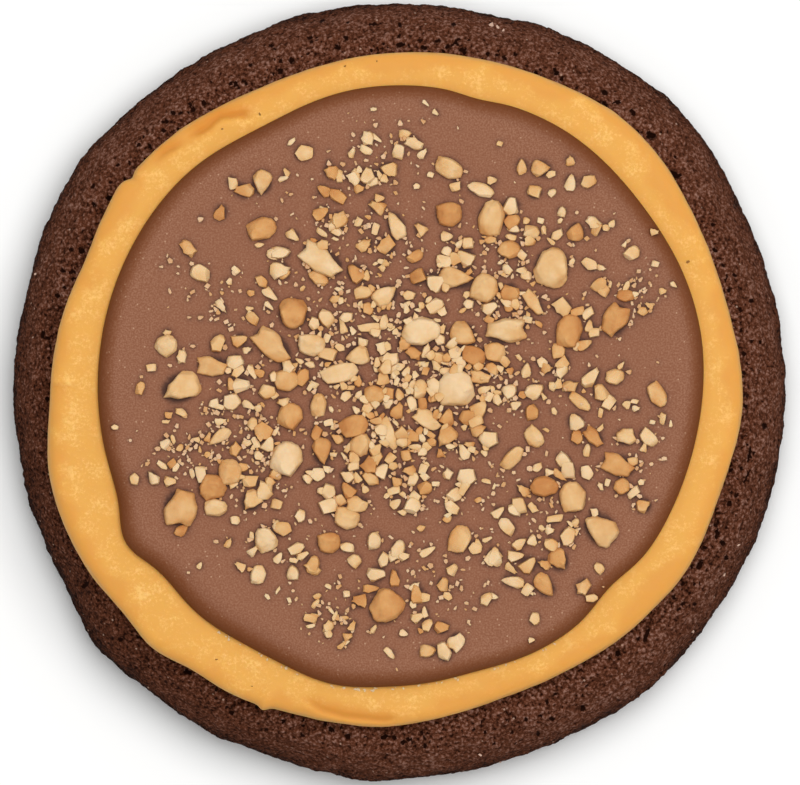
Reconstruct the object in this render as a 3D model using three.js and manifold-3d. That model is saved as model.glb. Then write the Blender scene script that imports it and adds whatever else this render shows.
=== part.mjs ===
// A large round brownie cookie topped with a disc of peanut butter, a smaller disc of milk
// chocolate on that, and chopped peanuts strewn over the chocolate.
// Millimetres, +Z up. The origin is the middle of the cookie's flat underside.

import * as THREE from 'three';
import { mergeVertices } from 'three/addons/utils/BufferGeometryUtils.js';
import Module from 'manifold-3d';

const wasm = await Module();
wasm.setup();

// ---- Driving sizes ----

const LAYER_GAP = 0.3;             // between one layer's top and the next layer's underside
const CROWN_HEIGHT = 18.5;         // flat top of the baked cookie
const SPREAD_TOP = 23.0;           // flat top of the peanut butter
const CHOCOLATE_TOP = 25.5;        // flat top of the chocolate, without its nuts

// Each outline is a circle about a middle that lies a little off the origin, with low swells
// and hollows round its edge: [degrees from +X, rise, half-width in degrees].
const COOKIE_EDGE = {
  radius: 54.6,
  middle: [0, 0.2],
  swells: [
    [45, 1.4, 13],
    [65, 0.7, 8],
    [145, 0.9, 13],
    [222, 1.4, 9],
    [240, 0.9, 9],
    [265, 0.8, 10],
    [310, 0.4, 7],
  ],
};
const SPREAD_EDGE = {
  radius: 48.1,
  middle: [-0.9, 0.3],
  swells: [
    [10, 0.5, 14],
    [48, 2.0, 20],
    [112, -1.5, 20],
    [157, -0.9, 8],
    [196, 2.1, 12],
    [212, 1.7, 10],
    [226, 1.7, 6],
    [240, 0.8, 8],
    [290, -1.7, 18],
    [330, 0.7, 10],
    [356, 1.2, 12],
  ],
};
const CHOCOLATE_EDGE = {
  radius: 42.5,
  middle: [-0.2, 0.8],
  swells: [
    [14, 1.0, 22],
    [55, 0.6, 14],
    [75, -0.5, 5],
    [117, -1.1, 13],
    [209, 2.0, 6],
    [228, 0.5, 8],
    [257, 0.8, 9],
    [285, -0.5, 9],
    [317, -1.1, 7],
  ],
};

// The baked cookie: a flat foot that curls up to its widest line, then a full shoulder.
const FOOT_INSET = 2.4;            // the foot's edge lies this far inside the widest line
const WIDEST_HEIGHT = 6.0;
const SHOULDER_WIDTH = 8.0;        // from the widest line in to the flat crown
const SHOULDER_POWER = 2.1;        // 2 would be an ellipse, more is squarer
const CRUMB_RELIEF = 0.35;         // bumps and pits of the broken crust
const COOKIE_SEGMENTS = 96;

// The peanut butter: a thick spread with a rolled edge.
const SPREAD_UNDERCUT = 1.2;
const SPREAD_ROLL = 3.8;
const SPREAD_POWER = 3;
const SPREAD_SEGMENTS = 72;

// The chocolate: a thinner disc with a rounded edge.
const CHOCOLATE_UNDERCUT = 0.6;
const CHOCOLATE_ROLL = 2.4;
const CHOCOLATE_POWER = 2.0;
const CHOCOLATE_SEGMENTS = 72;

// The cuts that the peanut pieces come in, seen from above: corners as [along, aside], each
// from -1 to 1. The point of a wedge or a shield lies along +X.
const CUTS = {
  oval: [[1, 0.05], [0.7, 0.7], [0, 1], [-0.7, 0.75], [-1, 0], [-0.75, -0.7], [0, -1], [0.75, -0.65]],
  wedge: [[1, 0.1], [0.35, 0.65], [-0.55, 1], [-1, 0.5], [-0.9, -0.7], [-0.35, -1], [0.55, -0.5]],
  shield: [
    [1, 0.3], [0.65, 0.75], [-0.3, 1], [-1, 0.75], [-1, -0.65], [-0.5, -1], [0.55, -0.75], [0.95, -0.3],
  ],
  slab: [[0.85, 0.7], [-0.1, 1], [-1, 0.6], [-0.8, -0.8], [0.3, -1], [1, -0.3]],
  notched: [[1, 0.2], [0.3, 0.3], [-0.1, 1], [-0.9, 0.8], [-0.7, 0], [-1, -0.6], [0, -0.9], [0.7, -0.7]],
  grit: [[1, 0.2], [0.15, 1], [-0.85, 0.6], [-0.75, -0.8], [0.45, -0.95]],
};

// The largest peanut pieces, where they lie: [x, y, length, width, turn in degrees].
const LARGE_CHIPS = {
  oval: [
    [3, 8.5, 5.7, 4.1, 10],
    [20.5, -13.5, 4.1, 3.0, 0],
    [11.5, 28.5, 4.0, 2.0, -20],
    [-11.5, 16, 3.1, 2.0, -30],
    [15.5, 20, 3.3, 2.7, 0],
    [32, 13.5, 2.6, 1.8, 0],
    [30.5, 2, 2.8, 2.3, 10],
    [31.5, -13.5, 2.4, 2.3, 60],
  ],
  wedge: [
    [-31, 0.5, 5.7, 4.1, 205],
    [8, 16, 5.1, 3.1, -5],
    [28.5, -19.5, 5.1, 4.1, 140],
    [9, 8, 4.0, 3.4, -35],
    [-2, 13.5, 3.8, 2.8, 35],
    [-19.5, 29.5, 3.7, 2.8, 262],
    [-0.5, 23.5, 4.2, 2.3, 115],
    [22.5, -24, 3.2, 2.8, -60],
    [20.5, -27.5, 3.8, 2.5, -55],
    [16, -27, 3.4, 1.7, 170],
    [-25.5, -6.5, 3.7, 1.8, 215],
    [-21, -15.5, 3.2, 2.7, 230],
    [-11, -8.5, 4.0, 2.8, 275],
    [-6, 5, 3.4, 2.8, 190],
    [6.5, -6.5, 3.4, 2.8, 230],
    [20, 31.5, 2.8, 2.5, 0],
    [25, 22.5, 2.7, 2.5, 70],
  ],
  shield: [
    [8, 0.5, 5.2, 5.4, 90],
    [21.5, 17.5, 5.8, 5.0, 80],
    [-15, 11, 4.4, 4.1, -90],
    [-2, -30.5, 5.0, 4.6, 227],
    [-26.5, -13.5, 3.7, 4.0, 105],
    [-19, -21, 3.6, 3.3, 110],
    [-5.5, -7.5, 3.4, 3.0, 60],
  ],
  slab: [
    [-16, -9.5, 4.8, 4.4, 60],
    [-8.5, 2.5, 5.5, 2.8, 15],
    [13, 24.5, 5.2, 3.7, 80],
    [12, 14.5, 4.2, 3.8, 60],
    [24, 8.5, 4.8, 3.7, 75],
    [24.5, -15, 4.4, 3.8, 90],
    [-24, -11.5, 3.8, 3.3, 90],
    [-19.5, 23, 4.2, 3.2, 15],
    [7, 31.5, 4.2, 2.8, -25],
    [7, 25, 3.7, 3.5, 0],
    [-6.5, -5, 4.3, 3.2, 20],
    [8.5, -21, 4.2, 3.1, 70],
    [-12.5, 6.5, 4.0, 3.1, -10],
    [-15.5, -3.5, 3.7, 3.5, 60],
    [36.5, -0.5, 3.8, 2.4, -65],
    [-33, 6.5, 3.1, 3.1, 45],
    [-16, 1.5, 3.5, 3.1, 0],
    [10.5, 5, 3.6, 2.7, -20],
    [13.5, 5.5, 3.1, 2.8, 0],
    [19, -6.5, 3.3, 2.4, -55],
    [16, -9.5, 4.0, 2.1, 48],
    [25.5, -1.5, 3.7, 1.7, -40],
    [-26, -16.5, 3.3, 2.5, 0],
    [-11.5, -2, 3.4, 2.3, 85],
    [-1.5, -6, 5.0, 1.7, -70],
    [-7.5, -18, 3.7, 3.1, -20],
    [-10, -21.5, 3.3, 3.0, 0],
    [-4, 9, 4.0, 1.3, 5],
    [-3.5, -0.5, 3.1, 2.7, 0],
    [-20, -26, 2.8, 2.2, 80],
  ],
  notched: [
    [-11, 18.5, 6.7, 3.7, -30],
    [-18, 6.5, 6.4, 3.5, -40],
    [-31, -16.5, 5.4, 4.8, 90],
    [15, 8.5, 5.9, 3.6, 190],
    [30.5, 10, 4.9, 3.6, 250],
    [31, -10.5, 4.8, 3.1, -15],
    [-26.5, 3.5, 4.4, 2.9, 0],
    [4, -4, 4.4, 2.5, -30],
    [19, 12.5, 4.2, 1.9, -50],
    [27.5, -6.5, 3.4, 2.0, -40],
    [-6, -16, 3.3, 2.4, 0],
    [11.5, 2, 3.1, 2.0, 0],
    [8, -35.5, 2.8, 2.4, 60],
    [32, -6.5, 2.7, 2.5, 200],
  ],
};

// The smaller pieces are strewn thickest about the middle and thin out towards the edge.
const SMALL_CHIP_COUNT = 170;
const SMALL_CHIP_LARGEST = 3.0;
const SMALL_CHIP_SMALLEST = 1.7;
const STREW_MIDDLE = [0.6, 0.4];
const STREW_SPREAD = 19;           // standard deviation, each way
const STREW_REACH = 38;            // no piece lies further out
const CHIP_CLEARANCE = 0.36;       // of the two lengths, added, that neighbours keep apart
const CHIP_HEIGHT = 0.72;          // of a piece's width
const CHIP_TALLEST = 3.0;
const CHIP_SUNK = 0.3;             // of a piece's height, below the chocolate's surface
const CHIP_UNEVENNESS = 0.12;
const CHIP_BEVEL = 0.3;            // round the larger pieces' edges
const CHIP_TILT = 0.13;            // radians
const STREW_SEED = 7;
const CHIP_SHAPE_SEED = 21;
const CRUMB_SEED = 5;

// ---- Helpers ----

// The same draws each time: low to high, evenly.
function seededDraw(seed) {
  let state = seed;
  return (low, high) => {
    state = (Math.imul(state, 1664525) + 1013904223) >>> 0;
    return low + ((high - low) * state) / 4294967296;
  };
}

// How far an outline's edge lies from the origin in the direction of an angle.
function reach(edge, angle) {
  const [x, y] = edge.middle;
  let distance = edge.radius + x * Math.cos(angle) + y * Math.sin(angle);
  for (const [degrees, rise, halfWidth] of edge.swells) {
    const offset = THREE.MathUtils.radToDeg(angle) - degrees;
    const away = THREE.MathUtils.euclideanModulo(offset + 180, 360) - 180;
    distance += rise * Math.exp(-((away / halfWidth) ** 2));
  }
  return distance;
}

// Height of a rolled edge, from 0 at its widest line to 1 where it meets the flat top.
function rolledRise(inset, width, power) {
  const left = THREE.MathUtils.clamp(1 - inset / width, 0, 1);
  return (1 - left ** power) ** (1 / power);
}

// A closed geometry as a solid, with its doubled points merged and its empty faces left out.
function toSolid(geometry) {
  const bare = geometry.clone();
  bare.deleteAttribute('normal');
  bare.deleteAttribute('uv');
  const merged = mergeVertices(bare);
  const corners = merged.index.array;
  const kept = [];
  for (let i = 0; i < corners.length; i += 3) {
    const [a, b, c] = corners.slice(i, i + 3);
    if (a !== b && b !== c && c !== a) kept.push(a, b, c);
  }
  return new wasm.Manifold(new wasm.Mesh({
    numProp: 3,
    vertProperties: Float32Array.from(merged.attributes.position.array),
    triVerts: Uint32Array.from(kept),
  }));
}

function toGeometry(solid) {
  const { vertProperties, triVerts } = solid.getMesh();
  const geometry = new THREE.BufferGeometry();
  geometry.setAttribute('position', new THREE.BufferAttribute(vertProperties, 3));
  geometry.setIndex(new THREE.BufferAttribute(triVerts, 1));
  geometry.computeVertexNormals();
  return geometry;
}

// A profile of [radius, height] pairs, from the middle of the underside round to the middle
// of the top, spun about Z, with each of its points then moved by mould(radius, angle, height).
function turned(profile, segments, mould) {
  const points = profile.map(([radius, height]) => new THREE.Vector2(radius, height));
  const geometry = new THREE.LatheGeometry(points, segments);
  geometry.rotateX(Math.PI / 2);
  geometry.deleteAttribute('normal');
  geometry.deleteAttribute('uv');
  const merged = mergeVertices(geometry);
  const place = merged.attributes.position;
  for (let i = 0; i < place.count; i += 1) {
    const angle = Math.atan2(place.getY(i), place.getX(i));
    const radius = Math.hypot(place.getX(i), place.getY(i));
    const [newRadius, newHeight] = mould(radius, angle, place.getZ(i));
    place.setXYZ(i, newRadius * Math.cos(angle), newRadius * Math.sin(angle), newHeight);
  }
  return toSolid(merged);
}

// Insets of a rolled edge's rings, close together where it is steep.
function rollInsets(width, rings) {
  return Array.from({ length: rings }, (_, i) => width * ((i + 1) / rings) ** 1.7);
}

// ---- The baked cookie ----

function cookieHeight(inset) {
  const rise = rolledRise(inset, SHOULDER_WIDTH, SHOULDER_POWER);
  return WIDEST_HEIGHT + (CROWN_HEIGHT - WIDEST_HEIGHT) * rise;
}

// The cookie's top surface over any point, its broken crust smoothed out.
function cookieSurface(x, y) {
  const edge = reach(COOKIE_EDGE, Math.atan2(y, x));
  return cookieHeight(COOKIE_EDGE.radius * (1 - Math.hypot(x, y) / edge));
}

function brownieCookie() {
  const radius = COOKIE_EDGE.radius;
  const crumb = seededDraw(CRUMB_SEED);
  const profile = [
    [0, 0],
    [radius / 2, 0],
    [radius - FOOT_INSET, 0],
  ];
  const footRings = 4;
  for (let i = 1; i <= footRings; i += 1) {
    const turn = (i / footRings) * (Math.PI / 2);
    const inset = FOOT_INSET * (1 - Math.sin(turn));
    profile.push([radius - inset, WIDEST_HEIGHT * (1 - Math.cos(turn))]);
  }
  for (const inset of rollInsets(SHOULDER_WIDTH, 9)) {
    profile.push([radius - inset, cookieHeight(inset)]);
  }
  profile.push([radius / 2, CROWN_HEIGHT], [0, CROWN_HEIGHT]);

  const coveredFrom = SPREAD_EDGE.radius - SPREAD_ROLL;
  return turned(profile, COOKIE_SEGMENTS, (ring, angle, height) => {
    const outward = (ring * reach(COOKIE_EDGE, angle)) / radius;
    const bare = height > 0 && ring > coveredFrom && height < CROWN_HEIGHT - 0.01;
    if (!bare) return [outward, height];
    const shade = height < WIDEST_HEIGHT ? height / WIDEST_HEIGHT : 1;
    const sideways = crumb(-CRUMB_RELIEF, CRUMB_RELIEF) * shade;
    const down = crumb(-CRUMB_RELIEF, 0) * shade;
    return [outward + sideways, height + down];
  });
}

// ---- The peanut butter ----

function peanutButter() {
  const radius = SPREAD_EDGE.radius;
  const underside = CROWN_HEIGHT + LAYER_GAP;
  const rimHeight = underside + SPREAD_UNDERCUT;
  const profile = [
    [0, underside],
    [radius / 2, underside],
    [radius - SPREAD_ROLL, underside],
    [radius - SPREAD_UNDERCUT, underside],
    [radius - 0.3 * SPREAD_UNDERCUT, underside + 0.3 * SPREAD_UNDERCUT],
    [radius, rimHeight],
  ];
  for (const inset of rollInsets(SPREAD_ROLL, 6)) {
    const rise = rolledRise(inset, SPREAD_ROLL, SPREAD_POWER);
    profile.push([radius - inset, rimHeight + (SPREAD_TOP - rimHeight) * rise]);
  }
  profile.push([radius / 2, SPREAD_TOP], [0, SPREAD_TOP]);

  // The edge sags with the cookie's shoulder under it; the flat top does not.
  return turned(profile, SPREAD_SEGMENTS, (ring, angle, height) => {
    const outward = (ring * reach(SPREAD_EDGE, angle)) / radius;
    const x = outward * Math.cos(angle);
    const y = outward * Math.sin(angle);
    const sag = CROWN_HEIGHT - cookieSurface(x, y);
    const share = (SPREAD_TOP - height) / (SPREAD_TOP - underside);
    return [outward, height - sag * share];
  });
}

// ---- The chocolate and its nuts ----

function chocolateDisc() {
  const radius = CHOCOLATE_EDGE.radius;
  const underside = SPREAD_TOP + LAYER_GAP;
  const rimHeight = underside + CHOCOLATE_UNDERCUT;
  const profile = [
    [0, underside],
    [radius - CHOCOLATE_UNDERCUT, underside],
    [radius, rimHeight],
  ];
  for (const inset of rollInsets(CHOCOLATE_ROLL, 5)) {
    const rise = rolledRise(inset, CHOCOLATE_ROLL, CHOCOLATE_POWER);
    profile.push([radius - inset, rimHeight + (CHOCOLATE_TOP - rimHeight) * rise]);
  }
  profile.push([0, CHOCOLATE_TOP]);
  return turned(profile, CHOCOLATE_SEGMENTS, (ring, angle, height) => (
    [(ring * reach(CHOCOLATE_EDGE, angle)) / radius, height]
  ));
}

// All the peanut pieces, largest first. Each of the smaller ones is dropped again where it
// would lie on a neighbour.
function strewnChips() {
  const draw = seededDraw(STREW_SEED);
  const chips = [];
  for (const [cut, rows] of Object.entries(LARGE_CHIPS)) {
    for (const [x, y, length, width, degrees] of rows) {
      chips.push({ cut, x, y, length, width, turn: THREE.MathUtils.degToRad(degrees) });
    }
  }
  const largeCount = chips.length;
  while (chips.length < largeCount + SMALL_CHIP_COUNT) {
    const share = (chips.length - largeCount) / SMALL_CHIP_COUNT;
    const length = THREE.MathUtils.lerp(SMALL_CHIP_LARGEST, SMALL_CHIP_SMALLEST, share);
    const distance = STREW_SPREAD * Math.sqrt(-2 * Math.log(1 - draw(0, 1)));
    const around = draw(0, 2 * Math.PI);
    const x = STREW_MIDDLE[0] + distance * Math.cos(around);
    const y = STREW_MIDDLE[1] + distance * Math.sin(around);
    const width = length * draw(0.62, 0.95);
    const turn = draw(0, Math.PI);
    const free = chips.every((other) => (
      Math.hypot(x - other.x, y - other.y) > CHIP_CLEARANCE * (length + other.length)
    ));
    if (distance < STREW_REACH && free) chips.push({ cut: 'grit', x, y, length, width, turn });
  }
  return chips;
}

// One chopped piece: an uneven block with a flat top, partly sunk in the chocolate. The
// larger ones have a bevel round their edges.
function chipSolid({ cut, x, y, length, width, turn }, draw) {
  const corners = CUTS[cut].map(([along, aside]) => {
    const share = (1 + draw(-CHIP_UNEVENNESS, CHIP_UNEVENNESS)) / 2;
    return new THREE.Vector2(along * share * length, aside * share * width);
  });
  const height = Math.min(width * CHIP_HEIGHT, CHIP_TALLEST);
  const bevel = cut === 'grit' ? 0 : CHIP_BEVEL;
  const block = new THREE.ExtrudeGeometry(new THREE.Shape(corners), {
    depth: height - 2 * bevel,
    bevelEnabled: bevel > 0,
    bevelSize: bevel,
    bevelThickness: bevel,
    bevelOffset: -bevel,
    bevelSegments: 1,
  });
  block.translate(0, 0, bevel - height / 2);
  block.rotateX(draw(-CHIP_TILT, CHIP_TILT));
  block.rotateY(draw(-CHIP_TILT, CHIP_TILT));
  block.rotateZ(turn);
  block.translate(x, y, CHOCOLATE_TOP + height * (0.5 - CHIP_SUNK));
  return toSolid(block);
}

function milkChocolate() {
  const draw = seededDraw(CHIP_SHAPE_SEED);
  let nuts = null;
  for (const chip of strewnChips()) {
    const piece = chipSolid(chip, draw);
    nuts = nuts ? nuts.add(piece) : piece;
  }
  return chocolateDisc().add(nuts);
}

// ---- The whole cookie ----

function layer(name, solid, color, roughness) {
  const material = new THREE.MeshStandardMaterial({ color, roughness, metalness: 0 });
  const mesh = new THREE.Mesh(toGeometry(solid), material);
  mesh.name = name;
  return mesh;
}

const cookie = new THREE.Group();
cookie.add(layer('brownie_cookie', brownieCookie(), 0x553225, 0.9));
cookie.add(layer('peanut_butter', peanutButter(), 0xebaa57, 0.5));
cookie.add(layer('milk_chocolate', milkChocolate(), 0x96664e, 0.45));

export default cookie;
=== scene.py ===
import math
import random

import bpy
import numpy as np
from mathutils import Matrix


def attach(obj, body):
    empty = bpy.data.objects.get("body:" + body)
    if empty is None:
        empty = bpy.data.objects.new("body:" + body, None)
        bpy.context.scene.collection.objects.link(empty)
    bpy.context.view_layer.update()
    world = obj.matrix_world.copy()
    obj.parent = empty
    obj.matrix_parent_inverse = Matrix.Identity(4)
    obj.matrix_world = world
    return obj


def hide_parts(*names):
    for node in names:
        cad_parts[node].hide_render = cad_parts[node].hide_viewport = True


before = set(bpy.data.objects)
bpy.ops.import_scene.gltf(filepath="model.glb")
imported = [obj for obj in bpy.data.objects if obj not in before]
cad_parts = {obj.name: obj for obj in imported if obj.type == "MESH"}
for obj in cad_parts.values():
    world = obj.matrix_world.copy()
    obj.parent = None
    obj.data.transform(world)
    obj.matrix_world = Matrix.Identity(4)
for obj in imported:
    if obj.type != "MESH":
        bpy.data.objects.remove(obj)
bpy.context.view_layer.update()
bpy.ops.object.select_all(action="DESELECT")

# ---- The table, the light and the camera ----
# The cookie lies on a white table between bright walls, under one large soft lamp that hangs
# a little to its upper right. The camera looks straight down at it.

MM = 0.001
PHOTO_WIDTH, PHOTO_HEIGHT = 800, 785          # pixels
COOKIE_MIDDLE_PX = (399.5, 391)
COOKIE_ACROSS_PX = 777
COOKIE_ACROSS = 110 * MM
PIXEL = COOKIE_ACROSS / COOKIE_ACROSS_PX      # what one pixel of the photo shows

CAMERA_HEIGHT = 500 * MM
TABLE_ACROSS = 3000 * MM
TABLE_WHITE = "fbfbfa"
LAMP_ACROSS = 650 * MM
LAMP_DISTANCE = 900 * MM
LAMP_BEARING = math.radians(48)               # from +X, to the photo's upper right
LAMP_RISE = math.radians(80)
LAMP_WATTS = 6.6
WALL_LIGHT = 0.41                             # strength of the light from all round


def linear(hex_colour):
    """An sRGB colour, such as "c08040", as linear red, green, blue and full alpha."""
    shares = [int(hex_colour[i:i + 2], 16) / 255 for i in (0, 2, 4)]
    return [s / 12.92 if s <= 0.04045 else ((s + 0.055) / 1.055) ** 2.4 for s in shares] + [1]


def add_node(tree, kind, inputs=(), **settings):
    """One node, with its settings, and its inputs set to a value or joined to an output."""
    made = tree.nodes.new(kind)
    for name, value in settings.items():
        setattr(made, name, value)
    for name, value in dict(inputs).items():
        if isinstance(value, bpy.types.NodeSocket):
            tree.links.new(value, made.inputs[name])
        else:
            made.inputs[name].default_value = value
    return made


def new_material(name):
    """An empty node material, its tree and the socket that takes its shader."""
    material = bpy.data.materials.new(name)
    material.use_nodes = True
    material.node_tree.nodes.clear()
    output = add_node(material.node_tree, "ShaderNodeOutputMaterial")
    return material, material.node_tree, output.inputs["Surface"]


scene = bpy.context.scene
scene.view_settings.view_transform = "Standard"

white_room = bpy.data.worlds.new("white room")
white_room.use_nodes = True
white_room.node_tree.nodes["Background"].inputs["Color"].default_value = (1, 1, 1, 1)
white_room.node_tree.nodes["Background"].inputs["Strength"].default_value = WALL_LIGHT
scene.world = white_room

lamp_flat = LAMP_DISTANCE * math.cos(LAMP_RISE)
lamp_place = (
    lamp_flat * math.cos(LAMP_BEARING),
    lamp_flat * math.sin(LAMP_BEARING),
    LAMP_DISTANCE * math.sin(LAMP_RISE),
)
bpy.ops.object.light_add(
    type="AREA",
    location=lamp_place,
    rotation=(0, math.pi / 2 - LAMP_RISE, LAMP_BEARING),
)
lamp = bpy.context.object
lamp.name = "soft_lamp"
lamp.data.shape = "DISK"
lamp.data.size = LAMP_ACROSS
lamp.data.energy = LAMP_WATTS

camera_x = (PHOTO_WIDTH / 2 - COOKIE_MIDDLE_PX[0]) * PIXEL
camera_y = (COOKIE_MIDDLE_PX[1] - PHOTO_HEIGHT / 2) * PIXEL
bpy.ops.object.camera_add(location=(camera_x, camera_y, CAMERA_HEIGHT), rotation=(0, 0, 0))
scene.camera = bpy.context.object
scene.camera.data.type = "ORTHO"
scene.camera.data.ortho_scale = PHOTO_WIDTH * PIXEL

bpy.ops.mesh.primitive_plane_add(size=TABLE_ACROSS)
table = bpy.context.object
table.name = "table"
paint, tree, surface = new_material("matt white paint")
white = add_node(tree, "ShaderNodeBsdfDiffuse", {"Color": linear(TABLE_WHITE)})
tree.links.new(white.outputs["BSDF"], surface)
table.data.materials.append(paint)

# ---- The brownie cookie ----
# Dark cocoa dough, baked thick: a flat underside off the tray, a side that curls in under
# its widest line, and a full shoulder with a gritty, lumpy crumb, burst pores and a few
# cracks, most of them just outside the spread.

CROWN_HEIGHT = 18.5 * MM                      # where the peanut butter lies on it
COOKIE_RADIUS = 54.6 * MM
COOKIE_MIDDLE = (0, 0.2 * MM)
# Swells of its edge: degrees from +X, rise in millimetres, half-width in degrees.
COOKIE_SWELLS = [
    (45, 1.4, 13),
    (65, 0.7, 8),
    (145, 0.9, 13),
    (222, 1.4, 9),
    (240, 0.9, 9),
    (265, 0.8, 10),
    (310, 0.4, 7),
]
FOOT_INSET = 2.4 * MM                         # the foot's edge lies inside the widest line
WIDEST_HEIGHT = 6.0 * MM
SHOULDER_WIDTH = 8.0 * MM
SHOULDER_POWER = 2.1                          # 2 would be an ellipse, and more is squarer
COVERED_RADIUS = 44 * MM                      # the spread hides the crust inside this
COOKIE_STEPS = 1240
SHOULDER_RINGS = 54
FOOT_RINGS = 12
CROWN_RINGS = (46.1, 45.5, 44.8, 44, 38)      # radii in millimetres
# The crust's relief starts at the spread's edge and above the foot, and is coarser near the
# spread than down the side.
BARE_FADE, FOOT_FADE = 2 * MM, 3 * MM
COARSE_RADIUS, COARSE_FADE = 54 * MM, 7 * MM
# Pores and cracks that stand out: x, y, length, width in millimetres, turn in degrees.
BURST_PORES = [
    (0, 49, 1.2, 0.7, 20),
    (3.5, 48.6, 1.0, 0.7, -10),
    (9, 48.3, 1.4, 0.6, 0),
    (29, 40.6, 1.3, 0.8, -40),
    (31, 40.9, 0.9, 0.7, 0),
    (33, 39.5, 1.2, 0.7, -60),
    (35.5, 36.2, 1.5, 0.8, -50),
    (39, 30.6, 1.2, 0.8, -60),
    (42.5, -24.6, 1.6, 0.8, 60),
    (35, -34.5, 2.4, 0.6, 70),
    (49.5, -9, 2.6, 0.4, 80),
    (49.2, -12, 2.4, 0.4, 65),
    (-44.5, -27.5, 1.3, 0.7, 40),
    (-50.5, 8, 1.2, 0.6, 80),
]
# The finer ones: how many, how far from the middle in millimetres, and how long.
PORE_COUNT = 300
PORES_FROM, PORES_SPREAD = 48.2, 1.9
PORE_SHORTEST, PORE_LONGEST = 0.4, 0.95
PORE_DEEPEST = 0.8
PORE_SEED = 12
# It is painted darker below this height, as the shade low on its side, and a little on its lower
# left, as the shade away from the lamp.
SHADE_HEIGHT, SHADE_FADE = 14 * MM, 9 * MM
SHADED_SIDE_DEGREES, SHADED_SIDE_HALF_WIDTH = 212, 40
SHADED_SIDE_SHARE = 0.35                           # where its foot is 1
PAINTED_SHADE_DEPTH = -0.21                         # how far down its tones that takes it


def edge_reach(radius, middle, swells, angle):
    """How far an uneven round edge lies from the origin, at each angle."""
    distance = radius + middle[0] * np.cos(angle) + middle[1] * np.sin(angle)
    for degrees, rise, half_width in swells:
        away = (np.degrees(angle) - degrees + 180) % 360 - 180
        distance = distance + rise * MM * np.exp(-(away / half_width) ** 2)
    return distance


def rolled_rise(inset, width, power):
    """Height of a rolled edge: 0 at its widest line, 1 where it meets the flat top."""
    left = np.clip(1 - inset / width, 0, 1)
    return (1 - left ** power) ** (1 / power)


def rolled_edge(radius, width, low, high, power, rings):
    """The profile of a rolled edge, from above its widest line in to the flat top."""
    points = []
    for turn in np.linspace(0, math.pi / 2, rings + 1)[1:]:
        inset = width * (1 - max(math.cos(turn), 0) ** (2 / power))
        points.append((radius - inset, low + (high - low) * math.sin(turn) ** (2 / power)))
    return points


def spun(name, profile, steps):
    """A profile of (radius, height), from the axis round to the axis again, spun about Z."""
    bpy.ops.mesh.primitive_plane_add(size=MM)
    piece = bpy.context.object
    piece.name = name
    bpy.ops.object.mode_set(mode="EDIT")
    bpy.ops.mesh.merge(type="CENTER")
    bpy.ops.transform.translate(value=(profile[0][0], 0, profile[0][1]))
    for (radius, height), (next_radius, next_height) in zip(profile, profile[1:]):
        move = (next_radius - radius, 0, next_height - height)
        bpy.ops.mesh.extrude_vertices_move(TRANSFORM_OT_translate={"value": move})
    bpy.ops.object.mode_set(mode="OBJECT")
    lathe = piece.modifiers.new("lathe", "SCREW")
    lathe.steps = lathe.render_steps = steps
    lathe.use_merge_vertices = True
    lathe.merge_threshold = 0.001 * MM
    bpy.ops.object.modifier_apply(modifier=lathe.name)
    bpy.ops.object.mode_set(mode="EDIT")
    bpy.ops.mesh.select_all(action="SELECT")
    bpy.ops.mesh.normals_make_consistent(inside=False)
    bpy.ops.object.mode_set(mode="OBJECT")
    bpy.ops.object.shade_smooth()
    return piece


def points_of(piece):
    """A piece's points, as an array of x, y, z."""
    flat = np.empty(len(piece.data.vertices) * 3)
    piece.data.vertices.foreach_get("co", flat)
    return flat.reshape(-1, 3)


def move_points(piece, points):
    """Gives a piece's points their new places."""
    piece.data.vertices.foreach_set("co", np.asarray(points).ravel())
    piece.data.update()


def keep_share(piece, name, shares):
    """Stores a number for each point of a piece, for its material to read."""
    piece.data.attributes.new(name, "FLOAT", "POINT")
    piece.data.attributes[name].data.foreach_set("value", np.asarray(shares, np.float32))


def mould_to_edge(piece, radius, middle, swells):
    """Pushes a round piece out or in to its uneven edge, each point by its share."""
    points = points_of(piece)
    angle = np.arctan2(points[:, 1], points[:, 0])
    share = edge_reach(radius, middle, swells, angle) / radius
    points[:, :2] *= share[:, None]
    move_points(piece, points)


def relief(piece, name, kind, size, strength, middle=0.5, weights=None, **settings):
    """Displaces a piece along its normals by a solid pattern, where its weights say."""
    pattern = bpy.data.textures.new(name, kind)
    pattern.noise_scale = size
    for setting, value in settings.items():
        setattr(pattern, setting, value)
    push = piece.modifiers.new(name, "DISPLACE")
    push.texture = pattern
    push.texture_coords = "LOCAL"
    push.strength = strength
    push.mid_level = middle
    if weights is not None:
        group = piece.vertex_groups.new(name=name)
        levels = np.round(weights, 2)
        for level in np.unique(levels[levels > 0]):
            group.add(np.flatnonzero(levels == level).tolist(), float(level), "REPLACE")
        push.vertex_group = name
    bpy.context.view_layer.objects.active = piece
    bpy.ops.object.modifier_apply(modifier=push.name)


def within(points, x, y, length, width, degrees):
    """How near each point lies, seen from above, to the middle of an oval: 1 there, 0 far off."""
    turn = math.radians(degrees)
    dx = points[:, 0] - x * MM
    dy = points[:, 1] - y * MM
    along = dx * math.cos(turn) + dy * math.sin(turn)
    aside = dy * math.cos(turn) - dx * math.sin(turn)
    return np.exp(-(2 * along / (length * MM)) ** 4 - (2 * aside / (width * MM)) ** 4)


def wear(piece, node):
    """Makes a finished piece part of the cookie, in place of the plain solid it stands for."""
    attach(piece, "root")
    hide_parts(node)


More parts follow.
